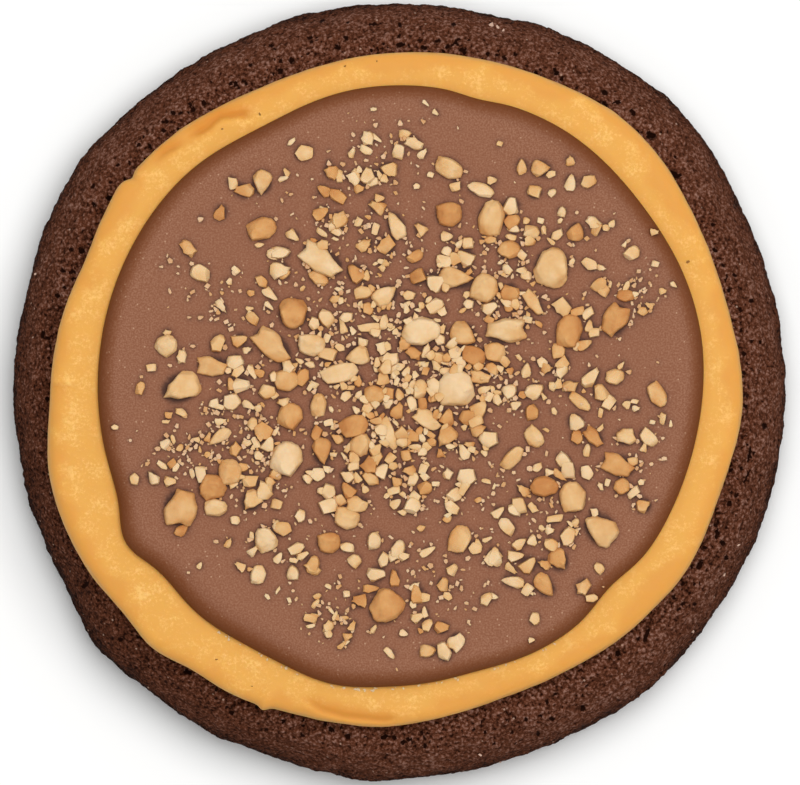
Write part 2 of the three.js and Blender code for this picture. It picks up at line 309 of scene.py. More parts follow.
foot_edge = COOKIE_RADIUS - FOOT_INSET
profile = [(0, 0), (COOKIE_RADIUS * 0.8, 0), (foot_edge - 1.5 * MM, 0), (foot_edge, 0)]
for i in range(1, FOOT_RINGS + 1):
    turn = math.pi / 2 * i / FOOT_RINGS
    inset = FOOT_INSET * (1 - math.sin(turn))
    profile.append((COOKIE_RADIUS - inset, WIDEST_HEIGHT * (1 - math.cos(turn))))
profile += rolled_edge(
    COOKIE_RADIUS, SHOULDER_WIDTH, WIDEST_HEIGHT, CROWN_HEIGHT, SHOULDER_POWER, SHOULDER_RINGS)
for radius in (*CROWN_RINGS, 0):
    profile.append((radius * MM, CROWN_HEIGHT))

cookie = spun("brownie_crumb", profile, COOKIE_STEPS)
mould_to_edge(cookie, COOKIE_RADIUS, COOKIE_MIDDLE, COOKIE_SWELLS)

# Its crust is rough where it is bare, and coarsest near the spread.
smooth = points_of(cookie)
out = np.hypot(smooth[:, 0], smooth[:, 1])
height = smooth[:, 2]
bare = np.clip((out - COVERED_RADIUS) / BARE_FADE, 0, 1) * np.clip(height / FOOT_FADE, 0, 1)
coarse = np.clip((COARSE_RADIUS - out) / COARSE_FADE, 0, 1)
upper = bare * np.clip((height - 2 * MM) / (9 * MM), 0.4, 1) * (0.6 + 0.4 * coarse)
relief(cookie, "uneven bake", "CLOUDS", size=5 * MM, strength=0.9 * MM, weights=bare)
relief(cookie, "knobs", "CLOUDS", size=1.7 * MM, strength=0.45 * MM, weights=bare)
rough_from = points_of(cookie)
relief(
    cookie, "lumps", "VORONOI", size=0.9 * MM, strength=-0.6 * MM, middle=0.35, weights=upper)
relief(
    cookie, "crumbs", "CLOUDS", size=0.4 * MM, strength=0.4 * MM, weights=upper, noise_depth=1)
normals = np.empty(len(cookie.data.vertices) * 3)
cookie.data.vertices.foreach_get("normal", normals)
raised = ((points_of(cookie) - rough_from) * normals.reshape(-1, 3)).sum(1)
keep_share(cookie, "raised", np.clip(0.5 + raised / (0.7 * MM), 0, 1))
keep_share(cookie, "coarse", coarse)
# Painted shade: darker low on its side, and a little on its lower left.
low = np.clip((SHADE_HEIGHT - height) / SHADE_FADE, 0, 1)
around = np.degrees(np.arctan2(smooth[:, 1], smooth[:, 0]))
away = (around - SHADED_SIDE_DEGREES + 180) % 360 - 180
shaded_side = SHADED_SIDE_SHARE * np.exp(-(away / SHADED_SIDE_HALF_WIDTH) ** 2)
keep_share(cookie, "painted_shade", low ** 2 * (3 - 2 * low) + shaded_side)

# The burst pores and cracks, then many finer ones, thickest beside the spread.
points = points_of(cookie)
burst = np.zeros(len(points))
pores = random.Random(PORE_SEED)
fine_pores = []
for _ in range(PORE_COUNT):
    around = pores.uniform(0, math.tau)
    from_middle = PORES_FROM + abs(pores.gauss(0, PORES_SPREAD))
    length = pores.uniform(PORE_SHORTEST, PORE_LONGEST)
    fine_pores.append((
        from_middle * math.cos(around), from_middle * math.sin(around),
        length, length * pores.uniform(0.5, 0.9), pores.uniform(0, 180)))
for x, y, length, width, degrees in BURST_PORES + fine_pores:
    share = within(points, x, y, length, width, degrees) * bare
    points[:, 2] -= share * min(0.9 * width, PORE_DEEPEST) * MM
    burst = np.maximum(burst, share)
move_points(cookie, points)
keep_share(cookie, "burst", burst)

# Baked cocoa dough: dull and dark, with paler crumbs and a few grains of sugar. Its raised lumps
# are painted paler and its hollows darker, as light and shade, and its pores near-black, as the
# shade in them. The grit is 0.3 to 0.8 mm, so most of it is colour and bump.
CRUMB_DARK = "210d06"
CRUMB_MID = "613725"
CRUMB_PALE = "9c7566"
SUGAR = "c9a792"
crumb, tree, surface = new_material("baked cocoa crumb")
place = add_node(tree, "ShaderNodeTexCoord").outputs["Object"]
raised, coarse, burst, painted_shade = (
    add_node(tree, "ShaderNodeAttribute", attribute_name=name).outputs["Fac"]
    for name in ("raised", "coarse", "burst", "painted_shade"))
grit = add_node(tree, "ShaderNodeTexNoise", {
    "Vector": place, "Scale": 1 / (0.45 * MM), "Detail": 3.0, "Roughness": 0.7})
grains = add_node(tree, "ShaderNodeTexVoronoi", {"Vector": place, "Scale": 1 / (0.5 * MM)})
patches = add_node(tree, "ShaderNodeTexNoise", {
    "Vector": place, "Scale": 1 / (3.2 * MM), "Detail": 1.0})
contrast = add_node(tree, "ShaderNodeMapRange", {"Value": coarse, "To Min": 0.7})
# Raised lumps are painted paler and hollows darker, as light and shade.
lump_light_and_shade = add_node(tree, "ShaderNodeMath", {0: raised, 1: 0.3, 2: -0.135}, operation="MULTIPLY_ADD")
grainy = add_node(tree, "ShaderNodeMath", {
    0: grains.outputs["Distance"], 1: -0.32, 2: -0.34}, operation="MULTIPLY_ADD")
crumbly = add_node(tree, "ShaderNodeMath", {
    0: grit.outputs["Fac"], 1: grainy.outputs["Value"]}, operation="ADD")
uneven = add_node(tree, "ShaderNodeMath", {
    0: crumbly.outputs["Value"], 1: lump_light_and_shade.outputs["Value"]}, operation="ADD")
weighed = add_node(tree, "ShaderNodeMath", {
    0: uneven.outputs["Value"], 1: contrast.outputs["Result"]}, operation="MULTIPLY")
patchy = add_node(tree, "ShaderNodeMapRange", {
    "Value": patches.outputs["Fac"],
    "From Min": 0.3, "From Max": 0.7, "To Min": 0.47, "To Max": 0.53})
gritty = add_node(tree, "ShaderNodeMath", {
    0: weighed.outputs["Value"], 1: patchy.outputs["Result"]}, operation="ADD")
# The painted shade takes its tones down low on its side and on its lower left.
shaded = add_node(tree, "ShaderNodeMath", {
    0: painted_shade, 1: PAINTED_SHADE_DEPTH, 2: gritty.outputs["Value"]}, operation="MULTIPLY_ADD")
tone = add_node(tree, "ShaderNodeValToRGB", {"Fac": shaded.outputs["Value"]})
tone.color_ramp.elements[0].position = 0.28
tone.color_ramp.elements[0].color = linear(CRUMB_DARK)
tone.color_ramp.elements[1].position = 0.74
tone.color_ramp.elements[1].color = linear(CRUMB_PALE)
tone.color_ramp.elements.new(0.5).color = linear(CRUMB_MID)
# The pores are painted near-black, as the shade in them, with ragged edges.
ragged_pore_shade = add_node(tree, "ShaderNodeMath", {
    0: burst, 1: crumbly.outputs["Value"]}, operation="SUBTRACT")
pore_shade_share = add_node(tree, "ShaderNodeMapRange", {
    "Value": ragged_pore_shade.outputs["Value"], "From Min": 0.35, "From Max": 0.65})
pores_shaded = add_node(tree, "ShaderNodeMix", {
    "Factor": pore_shade_share.outputs["Result"],
    "A": tone.outputs["Color"], "B": linear(CRUMB_DARK)}, data_type="RGBA")
sugar_cell = add_node(tree, "ShaderNodeTexVoronoi", {"Vector": place, "Scale": 1 / (2.4 * MM)})
sugar_grain = add_node(tree, "ShaderNodeMapRange", {
    "Value": sugar_cell.outputs["Distance"],
    "From Min": 0.08, "From Max": 0.05, "To Max": 0.6})
sugared = add_node(tree, "ShaderNodeMix", {
    "Factor": sugar_grain.outputs["Result"],
    "A": pores_shaded.outputs["Result"], "B": linear(SUGAR)}, data_type="RGBA")
grit_bump = add_node(tree, "ShaderNodeBump", {
    "Height": crumbly.outputs["Value"], "Strength": 0.9, "Distance": 0.35 * MM})
crumb_shader = add_node(tree, "ShaderNodeBsdfPrincipled", {
    "Base Color": sugared.outputs["Result"], "Roughness": 0.95, "IOR": 1.45,
    "Specular IOR Level": 0.04, "Normal": grit_bump.outputs["Normal"]})
tree.links.new(crumb_shader.outputs["BSDF"], surface)
cookie.data.materials.append(crumb)
wear(cookie, "brownie_cookie")

# ---- The peanut butter ----
# A thick spread laid on the warm cookie and smoothed round with a knife. Its edge has rolled
# over and sagged a little, and the knife has left creases where its strokes ended.

SPREAD_TOP = 23.0 * MM
SPREAD_RADIUS = 48.1 * MM
SPREAD_MIDDLE = (-0.9 * MM, 0.3 * MM)
# With a nick that the knife left at 141.5 degrees, and a small drip at 246.8.
SPREAD_SWELLS = [
    (10, 0.5, 14),
    (48, 2.0, 20),
    (112, -1.5, 20),
    (141.5, -0.5, 0.9),
    (144, 0.3, 2),
    (157, -0.9, 8),
    (196, 2.1, 12),
    (212, 1.7, 10),
    (226, 1.7, 6),
    (240, 0.8, 8),
    (246.8, 0.6, 0.9),
    (290, -1.7, 18),
    (330, 0.7, 10),
    (356, 1.2, 12),
]
SPREAD_ROLL = 3.8 * MM
SPREAD_POWER = 4
SPREAD_UNDERCUT = 1.2 * MM
SPREAD_SUNK = 0.25 * MM                       # it is pressed into the crumb by this much
SPREAD_STEPS = 960
SPREAD_RINGS = 26
SPREAD_FOOT_RINGS = 8
DISC_RADIUS = 42.5 * MM                       # of the chocolate that lies on it
DISC_MIDDLE = (-0.2 * MM, 0.8 * MM)
DISC_SWELLS = [
    (14, 1.0, 22),
    (55, 0.6, 14),
    (75, -0.5, 5),
    (117, -1.1, 13),
    (209, 2.0, 6),
    (228, 0.5, 8),
    (257, 0.8, 9),
    (285, -0.5, 9),
    (317, -1.1, 7),
]
# Creases that the knife left in it: x, y in millimetres along each, its width, its depth and
# the height of the lip on its left.
CREASES = [
    ([(-20, 39.1), (-22.7, 39.1), (-25.4, 38.8), (-26.4, 38.1), (-27, 37.4), (-28.1, 36.7),
      (-30.2, 36.1)], 0.5, 0.45, 0.3),
    ([(-30.2, 35.5), (-31, 34.8), (-32.8, 34), (-34.9, 32.4)], 0.45, 0.35, 0.25),
    ([(0.3, -46.2), (-2.1, -46.6), (-5.2, -46.3), (-8, -46), (-10.9, -45.1), (-13.8, -43.3)],
     0.45, 0.3, 0.25),
    ([(-50.6, 0.8), (-48.6, 0.8), (-45.6, 0.6)], 0.3, 0.2, 0.15),
]
CREASE_FADE = 2                               # millimetres, at both its ends
CREASE_SHADE_DEPTH = 0.45                         # a crease this deep has its full painted shade

rim_height = CROWN_HEIGHT + SPREAD_UNDERCUT
underside = CROWN_HEIGHT - SPREAD_SUNK
profile = [(0, underside), (SPREAD_RADIUS - SPREAD_ROLL, underside)]
for i in range(SPREAD_FOOT_RINGS + 1):
    turn = math.pi / 2 * i / SPREAD_FOOT_RINGS
    inset = SPREAD_UNDERCUT * (1 - math.sin(turn))
    drop = (SPREAD_UNDERCUT + SPREAD_SUNK) * math.cos(turn)
    profile.append((SPREAD_RADIUS - inset, rim_height - drop))
profile += rolled_edge(
    SPREAD_RADIUS, SPREAD_ROLL, rim_height, SPREAD_TOP, SPREAD_POWER, SPREAD_RINGS)
for radius in (*np.arange(43.8, 37, -0.4), 20, 0):
    profile.append((radius * MM, SPREAD_TOP))

spread = spun("peanut_butter_disc", profile, SPREAD_STEPS)
mould_to_edge(spread, SPREAD_RADIUS, SPREAD_MIDDLE, SPREAD_SWELLS)


def crust_drop(points):
    """How far the smoothed crust has fallen below the crown under each point."""
    angle = np.arctan2(points[:, 1], points[:, 0])
    reach = edge_reach(COOKIE_RADIUS, COOKIE_MIDDLE, COOKIE_SWELLS, angle)
    inset = COOKIE_RADIUS * (1 - np.hypot(points[:, 0], points[:, 1]) / reach)
    rise = rolled_rise(inset, SHOULDER_WIDTH, SHOULDER_POWER)
    return (1 - rise) * (CROWN_HEIGHT - WIDEST_HEIGHT)


points = points_of(spread)
share = (SPREAD_TOP - points[:, 2]) / (SPREAD_TOP - CROWN_HEIGHT)
points[:, 2] -= crust_drop(points) * np.clip(share, 0, 1)
move_points(spread, points)

# How far each point lies inside the spread's edge, and outside the chocolate's, in mm.
angle = np.arctan2(points[:, 1], points[:, 0])
out = np.hypot(points[:, 0], points[:, 1])
spread_reach = edge_reach(SPREAD_RADIUS, SPREAD_MIDDLE, SPREAD_SWELLS, angle)
disc_reach = edge_reach(DISC_RADIUS, DISC_MIDDLE, DISC_SWELLS, angle)
keep_share(spread, "inward", (spread_reach - out) / MM)
keep_share(spread, "outward", (out - disc_reach) / MM)


def crease(piece, route, width, depth, lip):
    """Draws a knife's edge along a route, a groove with a lip on its left. Returns the shade to
    paint along it.
    """
    points = points_of(piece)
    route = np.array(route)
    whole = np.hypot(*np.diff(route, axis=0).T).sum()
    nearest = np.full(len(points), np.inf)
    aside = np.zeros(len(points))
    run = np.zeros(len(points))
    before = 0.0
    for start, end in zip(route, route[1:]):
        length = np.hypot(*(end - start))
        along = (end - start) / length
        offset = points[:, :2] / MM - start
        here = np.clip(offset @ along, 0, length)
        gap = offset - here[:, None] * along
        away = np.hypot(*gap.T)
        left = np.sign(gap @ np.array([-along[1], along[0]]))
        closer = away < nearest
        aside = np.where(closer, left * away, aside)
        run = np.where(closer, before + here, run)
        nearest = np.minimum(nearest, away)
        before += length
    fade = np.clip(run / CREASE_FADE, 0, 1) * np.clip((whole - run) / CREASE_FADE, 0, 1)
    fade *= np.clip((points[:, 2] - rim_height) / MM, 0, 1)
    raised = lip * np.exp(-((aside - 2 * width) / (1.6 * width)) ** 2)
    points[:, 2] += fade * (raised - depth * np.exp(-(aside / width) ** 2)) * MM
    move_points(piece, points)
    # The shade in the groove, to be painted darker orange.
    groove_shade = np.exp(-(np.clip(aside, 0, None) / width) ** 2 - (aside / (3 * width)) ** 2)
    return fade * groove_shade * min(depth / CREASE_SHADE_DEPTH, 1)


upper_side = np.clip((points_of(spread)[:, 2] - CROWN_HEIGHT) / (2 * MM), 0, 1)
relief(spread, "knife waves", "CLOUDS", size=9 * MM, strength=0.6 * MM, weights=upper_side)
relief(spread, "paste", "CLOUDS", size=1.6 * MM, strength=0.09 * MM, weights=upper_side)
crease_shade = np.zeros(len(points))
for route, width, depth, lip in CREASES:
    crease_shade = np.maximum(crease_shade, crease(spread, route, width, depth, lip))
keep_share(spread, "crease_shade", crease_shade)

# Peanut butter: an oily paste, smooth and satin, a little see-through. It is painted deeper on its
# rolled edge, as the shade where it rolls over, and paler further in, where fine burst bubbles
# speckle it with painted glints.
PASTE = "e4aa53"
PASTE_SHADED = "dfa04c"
PASTE_GLINT = "f1c272"
PASTE_RIM_REFLECTION = "cb9550"
PASTE_CREASE_SHADE = "d48c36"
paste, tree, surface = new_material("smooth peanut butter")
place = add_node(tree, "ShaderNodeTexCoord").outputs["Object"]
inward, outward, crease_shade = (
    add_node(tree, "ShaderNodeAttribute", attribute_name=name).outputs["Fac"]
    for name in ("inward", "outward", "crease_shade"))
swirl = add_node(tree, "ShaderNodeTexNoise", {
    "Vector": place, "Scale": 1 / (8 * MM), "Detail": 2.0})
wander = add_node(tree, "ShaderNodeMath", {
    0: swirl.outputs["Fac"], 1: 8.0, 2: -4.0}, operation="MULTIPLY_ADD")
rolled = add_node(tree, "ShaderNodeMath", {
    0: inward, 1: wander.outputs["Value"]}, operation="ADD")
# Painted light and shade: the paste is paler where it lies flat and deeper where it rolls over.
flatness = add_node(tree, "ShaderNodeMapRange", {
    "Value": rolled.outputs["Value"], "From Min": 0.8, "From Max": 3.2},
    interpolation_type="SMOOTHSTEP")
bubbles = add_node(tree, "ShaderNodeTexNoise", {
    "Vector": place, "Scale": 1 / (0.5 * MM), "Detail": 4.0, "Roughness": 0.8})
clusters = add_node(tree, "ShaderNodeTexNoise", {
    "Vector": place, "Scale": 1 / (2.5 * MM), "Detail": 1.0})
bubbly = add_node(tree, "ShaderNodeMath", {
    0: clusters.outputs["Fac"], 1: 0.5, 2: bubbles.outputs["Fac"]}, operation="MULTIPLY_ADD")
# Painted glints on the fine bubbles, only where the paste lies flat.
glint_share = add_node(tree, "ShaderNodeMapRange", {
    "Value": bubbly.outputs["Value"], "From Min": 0.76, "From Max": 0.94})
bubble_glints = add_node(tree, "ShaderNodeMath", {
    0: glint_share.outputs["Result"], 1: flatness.outputs["Result"]}, operation="MULTIPLY")
# Painted shade on the paste beside the chocolate's edge.
shade_beside_disc = add_node(tree, "ShaderNodeMapRange", {
    "Value": outward, "From Min": 1.6, "From Max": 0.2, "To Max": 0.7})
# A dull tan painted on its steep outer edge, as the reflection and shade there.
rim_reflection = add_node(tree, "ShaderNodeMapRange", {
    "Value": inward, "From Min": 0.4, "From Max": 0.1, "To Max": 0.6})
# Each shade lies over the last by its share.
colour = linear(PASTE_SHADED)
for share, shade in (
    (flatness.outputs["Result"], PASTE),
    (bubble_glints.outputs["Value"], PASTE_GLINT),
    (shade_beside_disc.outputs["Result"], PASTE_SHADED),
    (rim_reflection.outputs["Result"], PASTE_RIM_REFLECTION),
    (crease_shade, PASTE_CREASE_SHADE),
):
    colour = add_node(tree, "ShaderNodeMix", {
        "Factor": share, "A": colour, "B": linear(shade)}, data_type="RGBA").outputs["Result"]
bubble_bump = add_node(tree, "ShaderNodeBump", {
    "Height": bubbles.outputs["Fac"], "Strength": 0.4, "Distance": 0.1 * MM})
paste_shader = add_node(tree, "ShaderNodeBsdfPrincipled", {
    "Base Color": colour, "Roughness": 0.6, "IOR": 1.47, "Specular IOR Level": 0.15,
    "Subsurface Weight": 0.6, "Subsurface Radius": (1.0, 0.5, 0.2),
    "Subsurface Scale": 1.4 * MM, "Normal": bubble_bump.outputs["Normal"]})
tree.links.new(paste_shader.outputs["BSDF"], surface)
spread.data.materials.append(paste)
wear(spread, "peanut_butter")

# ---- The milk chocolate ----
# Melted milk chocolate, poured on the spread and left to set: a flat, satin disc with a
# rounded edge, dulled by a fine bloom.

CHOCOLATE_TOP = 25.5 * MM
CHOCOLATE_ROLL = 2.4 * MM
CHOCOLATE_POWER = 2
CHOCOLATE_UNDERCUT = 0.4 * MM
CHOCOLATE_SUNK = 0.25 * MM
CHOCOLATE_STEPS = 576
CHOCOLATE_RINGS = 20
# How far in from its edge shade is painted on it: all round, and further about some angles.
CHOCOLATE_EDGE_SHADE_WIDTH = 2.9 * MM
CHOCOLATE_EDGE_SHADE_SWELLS = [
    (48, 0.7, 25),
    (232, 1.8, 32),
]

rim_height = SPREAD_TOP + CHOCOLATE_UNDERCUT
profile = [
    (0, SPREAD_TOP - CHOCOLATE_SUNK),
    (DISC_RADIUS - CHOCOLATE_UNDERCUT, SPREAD_TOP - CHOCOLATE_SUNK),
    (DISC_RADIUS - 0.3 * CHOCOLATE_UNDERCUT, SPREAD_TOP),
    (DISC_RADIUS, rim_height),
]
profile += rolled_edge(
    DISC_RADIUS, CHOCOLATE_ROLL, rim_height, CHOCOLATE_TOP, CHOCOLATE_POWER, CHOCOLATE_RINGS)
# The rings are close enough together for the shade painted round the nuts to show round each of
# them.
for radius in (*np.arange(39.8, 4, -0.34), 0):
    profile.append((radius * MM, CHOCOLATE_TOP))

disc = spun("chocolate_disc", profile, CHOCOLATE_STEPS)
mould_to_edge(disc, DISC_RADIUS, DISC_MIDDLE, DISC_SWELLS)
points = points_of(disc)
angle = np.arctan2(points[:, 1], points[:, 0])
disc_reach = edge_reach(DISC_RADIUS, DISC_MIDDLE, DISC_SWELLS, angle)
inward = disc_reach - np.hypot(points[:, 0], points[:, 1])
keep_share(disc, "inward", inward / MM)
edge_shade_width = edge_reach(CHOCOLATE_EDGE_SHADE_WIDTH, (0, 0), CHOCOLATE_EDGE_SHADE_SWELLS, angle)
keep_share(disc, "edge_shade", np.clip(1 - inward / edge_shade_width, 0, 1))
upper_side = np.clip((points[:, 2] - SPREAD_TOP) / MM, 0, 1)
relief(disc, "set waves", "CLOUDS", size=14 * MM, strength=0.2 * MM, weights=upper_side)

# Milk chocolate, set in the air: satin, with a fine bloom of fat and sugar that is easiest to see
# near its edge. Shade is painted on it near its rim, more on its lower left, and close round the
# nuts. The bloom's grain is drawn as coarse as it needs to show, and the larger specks in it are
# nut dust.
CHOCOLATE = "814e33"
CHOCOLATE_WARM = "865236"
CHOCOLATE_EDGE_SHADE = "67320c"
CHOCOLATE_NUT_SHADE = "3f2013"
BLOOM = "a27459"
NUT_POWDER = "c79f80"
chocolate, tree, surface = new_material("set milk chocolate")
place = add_node(tree, "ShaderNodeTexCoord").outputs["Object"]
inward, edge_shade, nut_shade = (
    add_node(tree, "ShaderNodeAttribute", attribute_name=name).outputs["Fac"]
    for name in ("inward", "edge_shade", "nut_shade"))
cloud = add_node(tree, "ShaderNodeTexNoise", {
    "Vector": place, "Scale": 1 / (18 * MM), "Detail": 2.0})
dust = add_node(tree, "ShaderNodeTexNoise", {
    "Vector": place, "Scale": 1 / (0.25 * MM), "Detail": 1.0})
dust_share = add_node(tree, "ShaderNodeMapRange", {
    "Value": dust.outputs["Fac"], "From Min": 0.4, "From Max": 0.75})
dusty = add_node(tree, "ShaderNodeMapRange", {
    "Value": inward, "From Min": 3.0, "From Max": 16.0, "To Min": 0.65, "To Max": 0.5})
dusted = add_node(tree, "ShaderNodeMath", {
    0: dust_share.outputs["Result"], 1: dusty.outputs["Result"]}, operation="MULTIPLY")
speck_cell = add_node(tree, "ShaderNodeTexVoronoi", {"Vector": place, "Scale": 1 / (1.2 * MM)})
speck_share = add_node(tree, "ShaderNodeMapRange", {
    "Value": speck_cell.outputs["Distance"],
    "From Min": 0.13, "From Max": 0.06, "To Max": 0.6})
# Painted shade on the rounded edge.
edge_shade_share = add_node(tree, "ShaderNodeMapRange", {
    "Value": edge_shade, "From Max": 1.18}, interpolation_type="SMOOTHSTEP")
colour = linear(CHOCOLATE)
for share, shade in (
    (cloud.outputs["Fac"], CHOCOLATE_WARM),
    (dusted.outputs["Value"], BLOOM),
    (speck_share.outputs["Result"], NUT_POWDER),
    (edge_shade_share.outputs["Result"], CHOCOLATE_EDGE_SHADE),
    (nut_shade, CHOCOLATE_NUT_SHADE),
):
    colour = add_node(tree, "ShaderNodeMix", {
        "Factor": share, "A": colour, "B": linear(shade)}, data_type="RGBA").outputs["Result"]
dust_bump = add_node(tree, "ShaderNodeBump", {
    "Height": dust.outputs["Fac"], "Strength": 0.25, "Distance": 0.05 * MM})
chocolate_shader = add_node(tree, "ShaderNodeBsdfPrincipled", {
    "Base Color": colour, "Roughness": 0.55, "IOR": 1.45,
    "Specular IOR Level": 0.2, "Normal": dust_bump.outputs["Normal"]})
tree.links.new(chocolate_shader.outputs["BSDF"], surface)
disc.data.materials.append(chocolate)
wear(disc, "milk_chocolate")

# ---- The chopped peanuts ----
# Blanched, roasted peanuts, chopped and strewn on the chocolate while it was soft: blocks
# with flat pale breaks and toasted outsides, down to grains and fine dust.

# The cuts that they come in, seen from above: corners as along, aside, each from -1 to 1.
# The point of a wedge or a shield lies along +X.
CUTS = {
    "oval": [(1, 0.05), (0.7, 0.7), (0, 1), (-0.7, 0.75), (-1, 0), (-0.75, -0.7), (0, -1),
             (0.75, -0.65)],
    "wedge": [(1, 0.1), (0.35, 0.65), (-0.55, 1), (-1, 0.5), (-0.9, -0.7), (-0.35, -1),
              (0.55, -0.5)],
    "shield": [(1, 0.3), (0.65, 0.75), (-0.3, 1), (-1, 0.75), (-1, -0.65), (-0.5, -1),
               (0.55, -0.75), (0.95, -0.3)],
    "slab": [(0.85, 0.7), (-0.1, 1), (-1, 0.6), (-0.8, -0.8), (0.3, -1), (1, -0.3)],
    "notched": [(1, 0.2), (0.45, 0.45), (-0.1, 1), (-0.9, 0.8), (-0.8, 0), (-1, -0.6), (0, -0.9),
                (0.7, -0.7)],
    "grit": [(1, 0.25), (-0.25, 1), (-1, 0.15), (-0.65, -0.9), (0.65, -0.85)],
    "block": [(1, 0.45), (0.15, 0.85), (-0.8, 1), (-1, -0.5), (0.5, -1)],
    "shard": [(1, 0.3), (0.1, 0.7), (-0.85, 1), (-1, -0.3), (-0.6, -1), (0.85, -0.35)],
}
# The largest pieces, where they lie: x, y, length, width in millimetres, turn in degrees,
# and how golden each is, from 0 to 1.
LARGE_CHIPS = {
    "oval": [
        (3, 8.5, 5.7, 4.1, 10, 0.0),
        (20.5, -13.5, 4.1, 3.0, 0, 0.9),
        (11.5, 28.5, 4.0, 2.0, -20, 0.05),
        (-11.5, 16, 3.1, 2.0, -30, 0.5),
        (15.5, 20, 3.3, 2.7, 0, 0.6),
        (32, 13.5, 2.6, 1.8, 0, 0.9),
        (30.5, 2, 2.8, 2.3, 10, 0.35),
        (31.5, -13.5, 2.4, 2.3, 60, 0.6),
    ],
    "wedge": [
        (-31, 0.5, 5.7, 4.1, 205, 0.2),
        (8, 16, 5.1, 3.1, -5, 0.4),
        (28.5, -19.5, 5.1, 4.1, 140, 0.35),
        (9, 8, 4.0, 3.4, -35, 0.5),
        (-2, 13.5, 3.8, 2.8, 35, 0.15),
        (-19.5, 29.5, 3.7, 2.8, 262, 0.3),
        (-0.5, 23.5, 4.2, 2.3, 115, 0.1),
        (22.5, -24, 3.2, 2.8, -60, 0.6),
        (20.5, -27.5, 3.8, 2.5, -55, 0.65),
        (16, -27, 3.4, 1.7, 170, 0.1),
        (-25.5, -6.5, 3.7, 1.8, 215, 0.15),
        (-21, -15.5, 3.2, 2.7, 230, 0.35),
        (-11, -8.5, 4.0, 2.8, 275, 0.7),
        (-6, 5, 3.4, 2.8, 190, 0.3),
        (6.5, -6.5, 3.4, 2.8, 230, 0.6),
        (20, 31.5, 2.8, 2.5, 0, 0.4),
        (25, 22.5, 2.7, 2.5, 70, 0.65),
    ],
    "shield": [
        (8, 0.5, 5.2, 5.4, 90, 0.0),
        (21.5, 17.5, 5.8, 5.0, 80, 0.3),
        (-15, 11, 4.4, 4.1, -90, 0.75),
        (-2, -30.5, 5.0, 4.6, 227, 0.6),
        (-26.5, -13.5, 3.7, 4.0, 105, 0.75),
        (-19, -21, 3.6, 3.3, 110, 0.1),
        (-5.5, -7.5, 3.4, 3.0, 60, 0.4),
    ],
    "slab": [
        (-16, -9.5, 4.8, 4.4, 60, 0.0),
        (-8.5, 2.5, 5.5, 2.8, 15, 0.05),
        (13, 24.5, 5.2, 3.7, 80, 0.4),
        (12, 14.5, 4.2, 3.8, 60, 0.4),
        (24, 8.5, 4.8, 3.7, 75, 0.7),
        (24.5, -15, 4.4, 3.8, 90, 0.35),
        (-24, -11.5, 3.8, 3.3, 90, 0.4),
        (-19.5, 23, 4.2, 3.2, 15, 0.6),
        (7, 31.5, 4.2, 2.8, -25, 0.35),
        (7, 25, 3.7, 3.5, 0, 0.75),
        (-6.5, -5, 4.3, 3.2, 20, 0.8),
        (8.5, -21, 4.2, 3.1, 70, 0.4),
        (-12.5, 6.5, 4.0, 3.1, -10, 0.1),
        (-15.5, -3.5, 3.7, 3.5, 60, 0.65),
        (36.5, -0.5, 3.8, 2.4, -65, 0.5),
        (-33, 6.5, 3.1, 3.1, 45, 0.2),
        (-16, 1.5, 3.5, 3.1, 0, 0.5),
        (10.5, 5, 3.6, 2.7, -20, 0.9),
        (13.5, 5.5, 3.1, 2.8, 0, 0.45),
        (19, -6.5, 3.3, 2.4, -55, 0.3),
        (16, -9.5, 4.0, 2.1, 48, 0.35),
        (25.5, -1.5, 3.7, 1.7, -40, 0.35),
        (-26, -16.5, 3.3, 2.5, 0, 0.2),
        (-11.5, -2, 3.4, 2.3, 85, 0.3),
        (-1.5, -6, 5.0, 1.7, -70, 0.25),
        (-7.5, -18, 3.7, 3.1, -20, 0.35),
        (-10, -21.5, 3.3, 3.0, 0, 0.7),
        (-4, 9, 4.0, 1.3, 5, 0.15),
        (-3.5, -0.5, 3.1, 2.7, 0, 0.65),
        (-20, -26, 2.8, 2.2, 80, 0.05),
    ],
    "notched": [
        (-11, 18.5, 6.7, 3.7, -30, 0.1),
        (-18, 6.5, 6.4, 3.5, -40, 0.4),
        (-31, -16.5, 5.4, 4.8, 90, 0.5),
        (15, 8.5, 5.9, 3.6, 190, 0.2),
        (30.5, 10, 4.9, 3.6, 250, 0.75),
        (31, -10.5, 4.8, 3.1, -15, 0.65),
        (-26.5, 3.5, 4.4, 2.9, 0, 0.45),
        (4, -4, 4.4, 2.5, -30, 0.15),
        (19, 12.5, 4.2, 1.9, -50, 0.35),
        (27.5, -6.5, 3.4, 2.0, -40, 0.8),
        (-6, -16, 3.3, 2.4, 0, 0.35),
        (11.5, 2, 3.1, 2.0, 0, 0.4),
        (8, -35.5, 2.8, 2.4, 60, 0.05),
        (32, -6.5, 2.7, 2.5, 200, 0.3),
    ],
}
